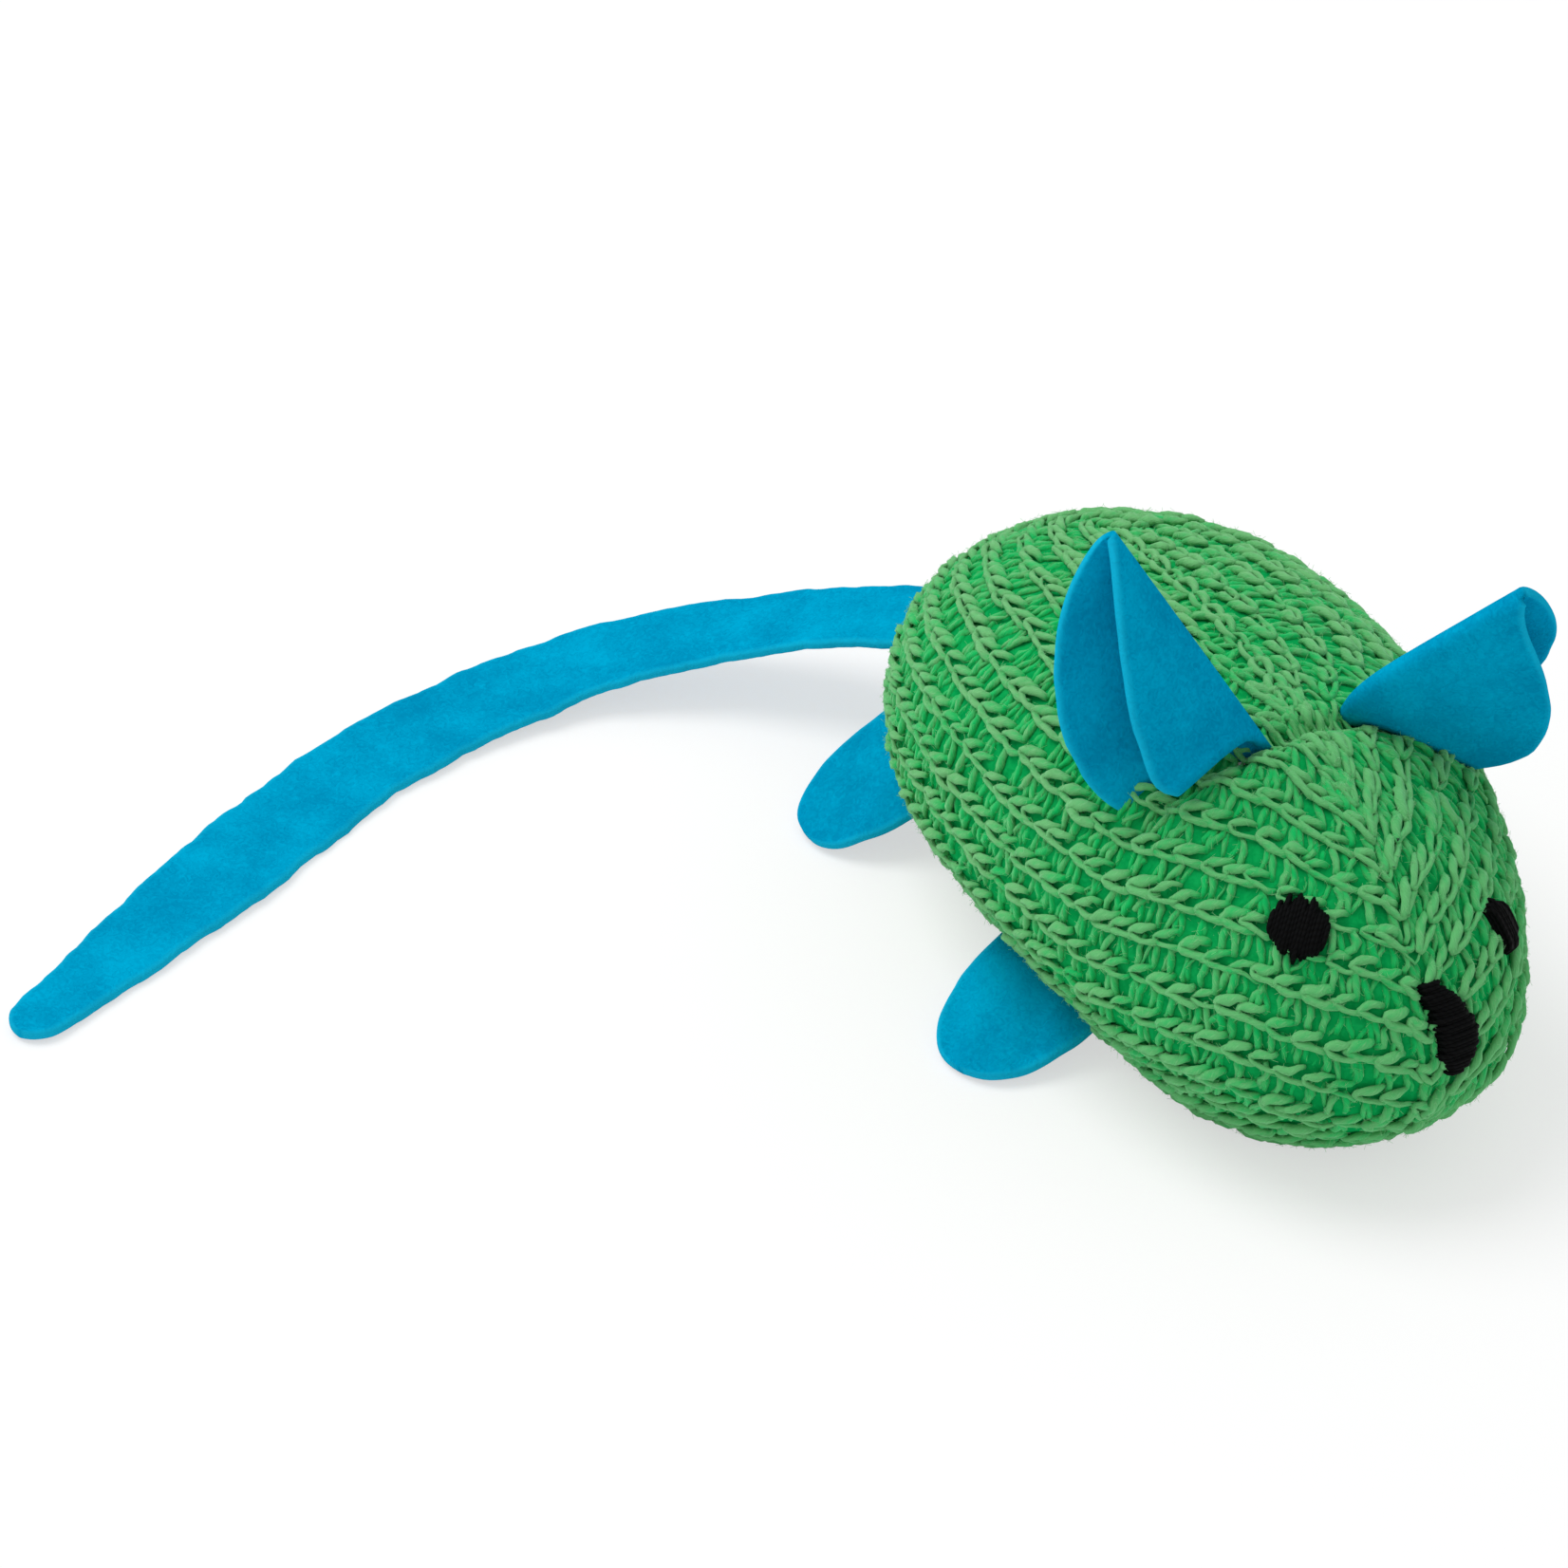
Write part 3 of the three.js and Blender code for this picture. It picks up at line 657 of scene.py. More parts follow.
def speckle(shade, scale, detail=2.0, distortion=0.0):
    """Noise on the piece's own coordinates, with a scale in grains per metre."""
    place = shade.node("TexCoord", output=3)
    inputs = {"Vector": place, "Scale": scale, "Detail": detail, "Distortion": distortion}
    return shade.node("TexNoise", {}, inputs)


def bumps(shade, height, strength, distance):
    """A normal that is bent by a height, as far as a distance in metres."""
    inputs = {"Height": height, "Strength": strength, "Distance": distance}
    return shade.node("Bump", {}, inputs)


def point_value(shade, name):
    """A value that a mesh holds at its points."""
    return shade.node("Attribute", {"attribute_name": name}, output=2)


def strand_map(shade):
    """Round a strand in turns and along it in millimetres, from the mesh's map."""
    around = shade.node("SeparateXYZ", {}, {"Vector": shade.node("TexCoord", output=2)})
    return around, around.beside(1)


def yarn_material():
    """Green yarn: deep and bright between the stitches, pale on their crests and less so on the head.

    The deep tone is painted bounce light, the pale one painted haze of fuzz; on the head painted shade dulls
    it.
    Streaks follow the twist of its plies.
    """
    sheen = {"Sheen_Weight": 0.6, "Sheen_Roughness": 0.45, "Sheen_Tint": colour(YARN_SHEEN)}
    material, shader, shade = new_material("green_yarn", Roughness=0.9, Specular_IOR_Level=0.05, **sheen)
    height, tint = point_value(shade, "height"), point_value(shade, "tint")
    around, along = strand_map(shade)
    lobes = 2 * np.pi * PLIES
    ply = (around * lobes - along * (lobes / PLY_PITCH) + np.pi / 2).wave()
    streaks = 24.0
    twisted = {"X": around * streaks - along * (streaks / PLY_PITCH), "Y": along * 1.2}
    grain = shade.node("CombineXYZ", {}, twisted)
    streak = shade.node("TexNoise", {}, {"Vector": grain, "Scale": 1.0, "Detail": 3.0})
    lint = speckle(shade, 1500.0, 3.0)
    patch = speckle(shade, 90.0)
    varies = YARN_VARIES
    pale = height + (lint + streak - 1) * varies["lint"] + (tint - 0.5) * varies["strand"]
    pale = pale + (patch - 0.5) * varies["patch"]
    # painted shade: a mask over the front of the mouse, its head, where the yarn is kept less pale
    head_shade_mask = shade.node("SeparateXYZ", {}, {"Vector": shade.node("TexCoord", output=3)}).between(0.0, 0.03)
    # paleness by height, with random mottle: painted bounce light low down, painted haze of fuzz on the
    # crests
    mottle_and_painted_light = (pale + (ply - 0.5) * varies["ply"]).between(*YARN_PALES) * (1 - head_shade_mask * HEAD_PAINTED_SHADE)
    body = mottle_and_painted_light.blend(YARN_DEEP, YARN_CREST)
    # painted haze: pale streaks over the crests, standing in for light scattered by fuzz
    painted_haze = (streak.between(0.45, 0.75) * mottle_and_painted_light * PAINTED_HAZE_SHARE).blend(body, YARN_PAINTED_HAZE)
    connect(shade, shader, Base_Color=painted_haze, Normal=bumps(shade, streak + lint * 0.5, 0.6, 0.00025))
    return material


def mottled_material(name, tones, noise, spread, bump=None, roughness=0.95, specular=0.1):
    """A matt material mottled between two tones, by noise that is spread between a low and a high value.

    The noise is given as for speckle, and a bump by its strength and distance.
    """
    material, shader, shade = new_material(name, Roughness=roughness, Specular_IOR_Level=specular)
    mottle = speckle(shade, *noise)
    connect(shade, shader, Base_Color=mottle.between(*spread).blend(*tones))
    if bump:
        connect(shade, shader, Normal=bumps(shade, mottle, *bump))
    return material


def felt_material():
    """Blue felt: matted fibres with darker clouds, and paler where it was cut."""
    sheen = {"Sheen_Weight": 0.05, "Sheen_Roughness": 0.5, "Sheen_Tint": colour(FELT_SHEEN)}
    material, shader, shade = new_material("blue_felt", Roughness=1.0, Specular_IOR_Level=0.0, **sheen)
    cut = point_value(shade, "cut")
    fibres = speckle(shade, 1300.0, 5.0, 1.6)
    clouds = speckle(shade, 130.0, 3.0)
    tone = (fibres * 0.5 + clouds * 0.5).between(0.3, 0.7).blend(*FELT_TONES)
    edged = (cut * 0.6).blend(tone, FELT_CUT_TONE)
    connect(shade, shader, Base_Color=edged, Normal=bumps(shade, fibres, 0.45, 0.0003))
    return material


def thread_material():
    """Black embroidery thread, matt, with the twist just seen."""
    material, shader, shade = new_material("black_thread", Roughness=0.7, Specular_IOR_Level=0.08)
    around, along = strand_map(shade)
    ply = (around * (2 * np.pi * 2) + along * 9.0).wave()
    connect(shade, shader, Base_Color=ply.blend(*THREAD_TONES), Normal=bumps(shade, ply, 0.4, 0.0001))
    return material


def loose_material(name, tones, grains):
    """Fill, leaf or cloth, with a scale in grains per metre."""
    return mottled_material(name, tones, (grains, 4.0, 0.5), (0.3, 0.7), (0.6, 0.0005))


# Crochet cover
# One stitch as strands: place along the row in stitches, up the cover in rows, height and radius
LOOP = [
    (1.08, 0.42, 0.35, 0.30),
    (0.80, 0.37, 0.80, 0.48),
    (0.45, 0.29, 1.00, 0.55),
    (0.12, 0.19, 1.00, 0.42),
    (0.02, 0.11, 0.96, 0.36),
    (0.20, 0.04, 1.00, 0.36),
    (0.65, 0.01, 1.05, 0.38),
    (1.05, 0.03, 0.90, 0.36),
    (1.34, 0.09, 0.50, 0.28),
]
POST = [
    (0.24, -0.68, 0.25, 0.34),
    (0.30, -0.46, 0.50, 0.42),
    (0.36, -0.22, 0.52, 0.42),
    (0.30, 0.04, 0.36, 0.34),
]
SECOND_POST = [
    (0.62, -0.68, 0.20, 0.32),
    (0.66, -0.46, 0.42, 0.40),
    (0.58, -0.22, 0.46, 0.40),
    (0.46, 0.04, 0.36, 0.32),
]
CROSSING = [
    (0.70, -0.64, 0.15, 0.26),
    (0.86, -0.44, 0.42, 0.32),
    (1.02, -0.22, 0.48, 0.32),
    (1.14, 0.02, 0.25, 0.26),
]
RIDGE_ARM = [
    (-0.15, 0.10, 0.80, 0.34),
    (0.25, 0.80, 1.05, 0.42),
    (0.75, 0.75, 1.00, 0.42),
    (1.15, 0.15, 0.70, 0.32),
]


def row_share(turn, row):
    """Share of the way up at which a row runs, lifted on the head."""
    lift = np.interp(np.abs(turn), *zip(*ROW_LIFT))
    return (row + lift * ease(row / LIFT_FADE_BASE) * np.clip((ROWS - row) / LIFT_FADE_RIDGE, 0, 1)) / ROWS


def stitch_row(row):
    """A row's number of stitches, and the turns round the body against the stitches counted along the row."""
    turns = np.linspace(-180, 180, 1441)
    line, _ = cover_point(turns, row_share(turns, row), np.zeros_like(turns))
    run = distances(line)
    count = max(round(run[-1] / STITCH), 6)
    return count, run / run[-1] * count, turns


def uneven(strand, count, luck=1.0):
    """Many copies of a strand's control points, each moved a little as a whole and point by point."""
    whole = LUCK.normal(0, luck, (count, 1, 4)) * STRAND_LUCK
    single = LUCK.normal(0, 0.5 * luck, (count, len(strand), 4)) * STRAND_LUCK
    moved = np.array(strand) + whole + single
    moved[..., 3] = np.maximum(moved[..., 3], THINNEST)
    return moved


def row_strands(row, strand, samples, top, luck=1.0):
    """One strand of every stitch in a row, laid on the cover, left out where it would pass the ridge."""
    count, steps, turns = stitch_row(row)
    shape = smooth_path(uneven(strand, count, luck), samples)
    turn = np.interp(np.mod(np.arange(count)[:, None] + shape[..., 0], count), steps, turns)
    share = row_share(turn, row + shape[..., 1])
    keep = share.max(axis=1) < top
    paths, out = cover_point(turn, share, shape[..., 2])
    return {
        "paths": paths[keep],
        "radii": shape[keep, :, 3],
        "out": out[keep],
        "height": shape[keep, :, 2] / COVER_DEPTH,
        "tint": np.repeat(LUCK.random((keep.sum(), 1)), samples, axis=1),
    }


def strand_net(strands):
    """Strands as tubes with the yarn's plies, their height and tint kept at each point for the shader."""
    shades = {"height": strands["height"], "tint": strands["tint"]}
    return tubes(strands["paths"], strands["radii"], strands["out"], STRAND_SIDES, PLIES, **shades)


def stitches():
    """The strands of every stitch, for each part of the cover."""
    parts = {"rump": [], "flank_right": [], "flank_left": [], "head": [], "base": []}
    for row in range(-BASE_ROWS, ROWS + 1):
        groups = [row_strands(row, strand, POST_SAMPLES, POST_TOP) for strand in (POST, SECOND_POST)]
        groups.append(row_strands(row, CROSSING, CROSSING_SAMPLES, POST_TOP, CROSSING_LUCK))
        if row < ROWS:
            groups.append(row_strands(row, LOOP, LOOP_SAMPLES, LOOP_TOP))
        for strands in groups:
            x, y, _ = strands["paths"][:, 0].T
            where = np.where(y > 0, "flank_left", "flank_right")
            where[x > EAR_SEAM_X] = "head"
            where[x < RUMP_FROM] = "rump"
            if row < 0:
                where[:] = "base"
            for part in np.unique(where):
                parts[part].append({key: value[where == part] for key, value in strands.items()})
    return parts


def ridge_chain():
    """The chain the crochet starts from, along the ridge: two mirrored arms to a stitch."""
    starts = np.arange(-RIDGE_REAR, EAR_SEAM_X + 2 * STITCH, STITCH)
    nets = []
    for side in (-1, 1):
        shape = smooth_path(uneven(RIDGE_ARM, len(starts)), 8)
        x = starts[:, None] + STITCH * shape[..., 0]
        paths = np.stack([x, side * shape[..., 1], ridge_height(x) - COVER_DEPTH + shape[..., 2]], axis=-1)
        paths[..., 2] -= dent(paths)
        shades = {"height": shape[..., 2] / COVER_DEPTH, "tint": LUCK.random((len(starts), 1))}
        nets.append(tubes(paths, shape[..., 3], UP, STRAND_SIDES, PLIES, **shades))
    return join(nets)


def ear_seam():
    """Whip stitches across the sewn line on top of the head, drawn down into its dent."""
    whip, lie = EAR_WHIPS, EAR_WHIP_LIE
    y = np.linspace(-whip["span"], whip["span"], whip["count"])[:, None]
    run = np.broadcast_to(np.linspace(-1, 1, WHIP_SAMPLES), (whip["count"], WHIP_SAMPLES))
    x = EAR_SEAM_X + whip["reach"] * run + LUCK.normal(0, whip["luck"], y.shape)
    z = ridge_height(x) - lie["below"] - lie["sag"] * (y / lie["sag_span"]) ** 2
    paths = np.stack([x, y + whip["slant"] * run, z], axis=-1)
    paths[..., 2] -= lie["dent"] * dent(paths) + lie["ends"] * run**4
    return tubes(paths, up=UP, height=0.6, tint=LUCK.random(y.shape), **WHIP)


def base_seam():
    """Whip stitches round the body where the base is sewn on, each leaning along the seam."""
    whip = BASE_WHIPS
    turn = np.arange(0, 360, whip["step"])[:, None] - 180
    turn = turn + LUCK.normal(0, whip["luck"], turn.shape)
    run = np.broadcast_to(np.linspace(0, 1, WHIP_SAMPLES), (len(turn), WHIP_SAMPLES))
    height = BASE_WHIP_HEIGHT + BASE_WHIP_ARCH * np.sin(np.pi * run)
    paths, out = cover_point(turn + whip["turn"] * run, whip["from"] + whip["climb"] * run, height)
    return tubes(paths, up=out, height=height / COVER_DEPTH, tint=LUCK.random(turn.shape), **WHIP)


def fuzz(parts):
    """Loose fibres: short hairs that leave the outer half of a strand at a low angle, any way along it."""
    strands = [some for part in parts.values() for some in part]
    centre = np.concatenate([some["paths"][:, 1:-1].reshape(-1, 3) for some in strands])
    ahead = np.concatenate([np.gradient(some["paths"], axis=1)[:, 1:-1].reshape(-1, 3) for some in strands])
    out = np.concatenate([some["out"][:, 1:-1].reshape(-1, 3) for some in strands])
    radius = np.concatenate([some["radii"][:, 1:-1].ravel() for some in strands])
    chosen = LUCK.integers(0, len(centre), FIBRES)
    angle = LUCK.uniform(-FIBRE_SPREAD, FIBRE_SPREAD, (FIBRES, 1))
    off = np.cos(angle) * out[chosen] + np.sin(angle) * unit(np.cross(ahead[chosen], out[chosen]))
    first = centre[chosen] + radius[chosen, None] * off
    lean = LUCK.normal(0, 1, (FIBRES, 3))
    flat = unit(lean - (lean * off).sum(axis=1, keepdims=True) * off)
    length = LUCK.uniform(*FIBRE_LENGTH, (FIBRES, 1))
    last = first + length * unit(flat + LUCK.uniform(0, FIBRE_LIFT, (FIBRES, 1)) * off)
    hairs = np.stack([first, last], axis=1)
    keep = hairs[..., 2].min(axis=1) > FIBRE_FLOOR
    return tubes(hairs[keep], FIBRE_RADIUS, off[keep][:, None], 3)


def backing():
    """The closed surface behind the stitches, a little above the cover's inner level."""
    turns = np.arange(-180, 180, 2.0)[None, :]
    shares = np.linspace(0, 1, 90)[:, None]
    points, _ = cover_point(turns, shares, BACKING_HEIGHT)
    return closed_body(points, COVER_DEPTH)


# Inside
def stuffing():
    """Fibre fill: outside the skin drawn in past the cover, lumpy by two sines, inside the pouch's pocket."""
    turns = np.arange(-180, 180, 5.0)[None, :]
    rises = np.linspace(-90, 90, 49)[:, None]
    turn, rise = np.radians(turns), np.radians(rises)
    lumps = LUMPS * np.cos(rise) * (np.sin(7 * turn + 4 * rise) + np.sin(5 * turn - 6 * rise))
    wad = closed_body(skin(turns, rises, STUFFING_INSET + lumps), STUFFING_INSET)
    angle = np.linspace(0, np.pi, 25)
    front = POUCH_X + POUCH_LENGTH / 2 + NECK_LENGTH + RUFFLE_LENGTH
    rear = POUCH_X - POUCH_LENGTH / 2
    reach = (front - rear) / 2 + POCKET_END_ROOM
    girth = (POUCH_RADIUS + POCKET_ROOM) * np.sin(angle) ** 0.8
    pocket = lathe((front + rear) / 2 - reach * np.cos(angle), girth)
    pocket["faces"] = [face[:, ::-1] for face in pocket["faces"]]
    return join([wad, pocket])


def pouch_profile(inset):
    """The pouch's outline from its rear pole to its neck, drawn in by an inset."""
    neck = np.arcsin(NECK_RADIUS / POUCH_RADIUS)
    angle = np.linspace(0, np.pi - neck, 30)
    return POUCH_X - (POUCH_LENGTH / 2 - inset) * np.cos(angle), (POUCH_RADIUS - inset) * np.sin(angle)


def pouch():
    """A round of muslin gathered into a bag: its profile runs along bag, neck and ruffle and back inside."""
    out_x, out_radius = pouch_profile(0)
    in_x, in_radius = pouch_profile(POUCH_WALL)
    neck_end = out_x[-1] + NECK_LENGTH
    rim = neck_end + RUFFLE_LENGTH
    x = np.concatenate([out_x, [neck_end, rim - 1, rim, rim - 0.2, neck_end], in_x[::-1]])
    ruffle = np.array([NECK_RADIUS, RUFFLE_RADIUS - 0.5, RUFFLE_RADIUS - 0.3, RUFFLE_RADIUS - 0.9, 2.5])
    radius = np.concatenate([out_radius, ruffle, in_radius[::-1]])
    depth = GATHER_DEPTH * ease((x - POUCH_X) / (POUCH_LENGTH / 2))
    return lathe(x, radius, waves=GATHERS, depth=depth)


def leaf():
    """Crushed leaf: a lumpy mass that fills the pouch, with bits of stalk lying on it."""
    angle = np.linspace(0, np.pi, 25)
    reach, girth = POUCH_LENGTH / 2 - LEAF_INSET, POUCH_RADIUS - LEAF_INSET
    mass = lathe(POUCH_X - reach * np.cos(angle), girth * np.sin(angle), waves=9, depth=0.02)
    spot = unit(LUCK.normal(0, 1, (LEAF_BITS, 3)))
    lie = unit(np.cross(spot, LUCK.normal(0, 1, (LEAF_BITS, 3))))
    root = spot * (reach, girth, girth) + (POUCH_X, 0, POUCH_Z)
    length = LUCK.uniform(*LEAF_BIT_LENGTH, (LEAF_BITS, 1))
    bits = np.stack([root - length * lie, root + length * lie], axis=1)
    return join([mass, tubes(bits, LEAF_BIT_RADIUS, spot[:, None], 4)])


def tie():
    """A strand of yarn wound twice round the pouch's neck, as a helix."""
    x, _ = pouch_profile(0)
    run = np.linspace(0, 1, 49)
    angle = 4 * np.pi * run
    out = np.stack([0 * angle, np.cos(angle), np.sin(angle)], axis=-1)
    middle = np.stack([x[-1] + TIE_START + TIE_WIDTH * run, 0 * run, 0 * run + POUCH_Z], axis=-1)
    paths = middle + (NECK_RADIUS + TIE_SEAT) * out
    return tubes(paths[None], TIE_RADIUS, out, 8, height=0.6, tint=0.5)


# Embroidered face
def on_face(place, across, up, height):
    """Points above the skin at distances across and up from a place: turn and rise are found in steps."""
    centre = skin(place["turn"], place["rise"])
    out = skin_normal(place["turn"], place["rise"])
    left = unit(np.cross(UP, out))
    flat = np.stack([left, np.cross(out, left)], axis=-1)
    turn = np.full(across.shape, float(place["turn"]))
    rise = np.full(across.shape, float(place["rise"]))
    step = 0.1
    for _ in range(5):
        miss = np.stack([across, up], axis=-1) - (skin(turn, rise) - centre) @ flat
        by_turn = (skin(turn + step, rise) - skin(turn - step, rise)) / (2 * step)
        by_rise = (skin(turn, rise + step) - skin(turn, rise - step)) / (2 * step)
        slopes = np.stack([by_turn @ flat, by_rise @ flat], axis=-1)
        change = np.linalg.solve(slopes, miss[..., None])[..., 0]
        turn, rise = turn + change[..., 0], rise + change[..., 1]
    normal = skin_normal(turn, rise)
    return skin(turn, rise) + height[..., None] * normal, normal


def satin(place, starts, ends):
    """Satin stitches between pairs of points: each comes up, lies over its padding and goes down."""
    run = (1 - np.cos(np.linspace(0, np.pi, 11))) / 2
    flat = starts[:, None] + (ends - starts)[:, None] * run[:, None]
    arch = 1 - np.abs(2 * run - 1) ** SATIN_POWER
    layers = []
    for depth in PADDING_DEPTHS:
        height = SATIN_ROOT + (SATIN_RISE - depth + LUCK.normal(0, SATIN_LUCK, (len(starts), 1))) * arch
        paths, out = on_face(place, flat[..., 0], flat[..., 1], height)
        layers.append(tubes(paths, THREAD * (THREAD_ENDS + (1 - THREAD_ENDS) * arch), out, 6))
    return join(layers)


def eye_stitches(eye):
    """Parallel threads across an oval eye, or the span of it that is sewn, with uneven ends and a lean."""
    first, last = eye["span"]
    count = round((last - first) * eye["width"] / 2 / (EYE_SPACING * THREAD)) + 1
    share = np.linspace(first, last, count)
    offset = share * eye["width"] / 2
    chord = eye["height"] / 2 * np.sqrt(1 - share**2)
    top = chord + LUCK.normal(0, EYE_LUCK, count)
    bottom = -chord + LUCK.normal(0, EYE_LUCK, count)
    turn = np.radians(eye["lean"])
    along = np.array([np.sin(turn), np.cos(turn)])
    beside = np.array([np.cos(turn), -np.sin(turn)])
    starts = offset[:, None] * beside + bottom[:, None] * along
    ends = offset[:, None] * beside + top[:, None] * along
    return satin(eye, starts, ends)


def nose_stitches():
    """Threads across the nose, from a straight edge on the mouse's right to a round one on its left."""
    count = round(NOSE_HEIGHT / (NOSE_SPACING * THREAD))
    up = np.linspace(-0.5, 0.5, count) * NOSE_HEIGHT
    straight = NOSE_STRAIGHT["place"] * NOSE_WIDTH + NOSE_STRAIGHT["lean"] * up
    off = up - NOSE_ROUND["fullest"]
    hollow = np.where(off > 0, NOSE_ROUND["above"], NOSE_ROUND["below"]) * np.abs(off) ** NOSE_ROUND["power"]
    round_edge = NOSE_ROUND["place"] * NOSE_WIDTH - hollow
    luck = LUCK.normal(0, NOSE_LUCK, (2, count))
    starts = np.stack([straight + luck[0], up], axis=-1)
    ends = np.stack([round_edge + luck[1], up], axis=-1)
    return satin(NOSE, starts, ends)


# Felt pieces
def wall(line, depth):
    """Quads between a line of points on a sheet's front and the same line on its back."""
    return np.stack([line[1:], line[:-1], line[:-1] + depth, line[1:] + depth], axis=-1)


def felt_net(middle):
    """A felt sheet from a grid of middle points: two faces half its thickness off, drawn together at the cut.

    The rows of the grid run from one cut edge to the other, and cut is 1 at those edges and 0 inside.
    """
    rows, columns = middle.shape[:2]
    run = distances(middle)
    inside = np.minimum(run, run[:, -1:] - run)
    rounding = 1 - np.clip(inside / (FELT / 2), 0, 1)
    half = FELT / 2 * (FELT_EDGE + (1 - FELT_EDGE) * np.sqrt(1 - rounding**2))
    out = unit(np.cross(np.gradient(middle, axis=1), np.gradient(middle, axis=0)))
    points = np.concatenate([middle + half[..., None] * out, middle - half[..., None] * out])
    front = grid_faces(rows, columns)
    index = np.arange(rows * columns).reshape(rows, columns)
    depth = rows * columns
    walls = [wall(line, depth) for line in (index[:, -1], index[::-1, 0], index[0], index[-1, ::-1])]
    cut = np.tile((1 - np.clip(inside / FELT_CUT, 0, 1)).ravel(), 2)
    return plain_net(points.reshape(-1, 3), [front, front[:, ::-1] + depth, *walls], cut=cut)


def felt_piece(node, middle, bend, cut, share):
    """A felt sheet in place of a solid.

    It was cut from a rectangle, of which it keeps a share; the bend points, rectangle and share it is given
    are not used.
    """
    piece = new_piece(node + "_felt", felt_net(middle), FELT_BLUE)
    start, end = (point * MM for point in bend)
    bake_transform(piece)
    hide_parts(node)
    width, length = cut[0] * MM, cut[1] * MM
    share * width * length


def flap_width(flap, climbed):
    """A flap's width: it falls with a power of the way up the fold and is drawn in by the seam's corner."""
    width = flap["width"] * (1 - climbed ** flap["power"]) ** flap["fullness"]
    return width * (1 - flap["tuck_in"] * np.maximum(1 - EAR_FOLD * climbed / flap["corner"], 0) ** 2)


def ear(node, side, form, seed):
    """A felt leaf folded along its inner edge: its section is a narrow U whose arms shorten towards the tip.

    The front arm's lower edge stands off the head, and the rest of that edge runs into the yarn.
    """
    inner = skin(side * EAR_INNER["turn"], EAR_INNER["rise"])
    outer = skin(side * EAR_OUTER["turn"], EAR_OUTER["rise"])
    out = unit(outer - inner)
    middle_turn = side * (EAR_INNER["turn"] + EAR_OUTER["turn"]) / 2
    normal = skin_normal(middle_turn, (EAR_INNER["rise"] + EAR_OUTER["rise"]) / 2)
    front = -side * unit(np.cross(normal, out))
    axis = side * out
    up = turned_about(np.cross(front, axis), axis, form["lean"])
    facing = turned_about(front, axis, form["lean"])
    rows, columns = EAR_MESH
    climbed = np.sin(np.radians(np.linspace(0, EAR_TIP, rows)))[:, None]
    sway = side * even_sway(columns)
    lower_edge = EAR_FRONT_LIFT * ease(1.3 * sway) - EAR_TUCK * ease(1 - 2 * sway)
    height = EAR_FOLD * climbed + lower_edge * (1 - climbed) ** 3
    ragged = 1 + EDGE_LUCK * wobble(height, EAR_EDGE_WAVE, seed)
    flaps = np.where(sway > 0, flap_width(form["front"], climbed), flap_width(form["back"], climbed))
    place, splay, bow = form["fold"]
    fold = place + splay * climbed + bow * (1 - (1 - climbed) ** 8)
    across = (flaps * ragged + FELT / 2) * np.abs(sway) ** EAR_CURVE - FELT / 2 + fold
    ahead = sway * (EAR_OPENING * np.sqrt(1 - climbed**2) / 2 + FELT / 2)
    middle = inner + across[..., None] * out + height[..., None] * up + ahead[..., None] * facing
    root = (inner + outer) / 2
    cut = (form["back"]["width"] + form["front"]["width"] + EAR_OPENING, EAR_FOLD + EAR_TUCK)
    felt_piece(node, middle, (root, root + EAR_BEND * up), cut, EAR_SHARE)


def foot(node, side, turn, aim, length, height, seed):
    """A flat felt tab that slopes to the floor, straight where it is sewn in, then half a superellipse."""
    root = skin(side * turn, belly_rise(turn, height))
    slope = np.arcsin((root[2] - FELT / 2 - FLOOR_GAP) / length)
    heading = np.radians(side * aim)
    flat = np.array([np.cos(heading), np.sin(heading), 0])
    travel = flat * np.cos(slope) - np.sin(slope) * UP
    across = unit(np.cross(travel, UP))
    thick = np.cross(across, travel)
    rows, columns = FOOT_MESH
    level = np.radians(np.linspace(0, FOOT_TIP, rows))
    reach = np.concatenate([[-FOOT_TUCK], length * np.sin(level)])[:, None]
    width = FOOT_WIDTH * np.concatenate([[1], np.cos(level) ** (2 / FOOT_POWER)])[:, None]
    sway = even_sway(columns)
    sideways = sway * width / 2 * (1 + EDGE_LUCK * wobble(reach + 5 * np.sign(sway), FOOT_EDGE_WAVE, seed))
    lie = FOOT_WAVE * wobble(sideways + 0.6 * reach, FOOT_WAVE_LENGTH, seed + 1)
    middle = root + reach[..., None] * travel + sideways[..., None] * across + lie[..., None] * thick
    cut = (FOOT_WIDTH, length + FOOT_TUCK)
    felt_piece(node, middle, (root, root + FOOT_BEND * travel), cut, FOOT_SHARE)


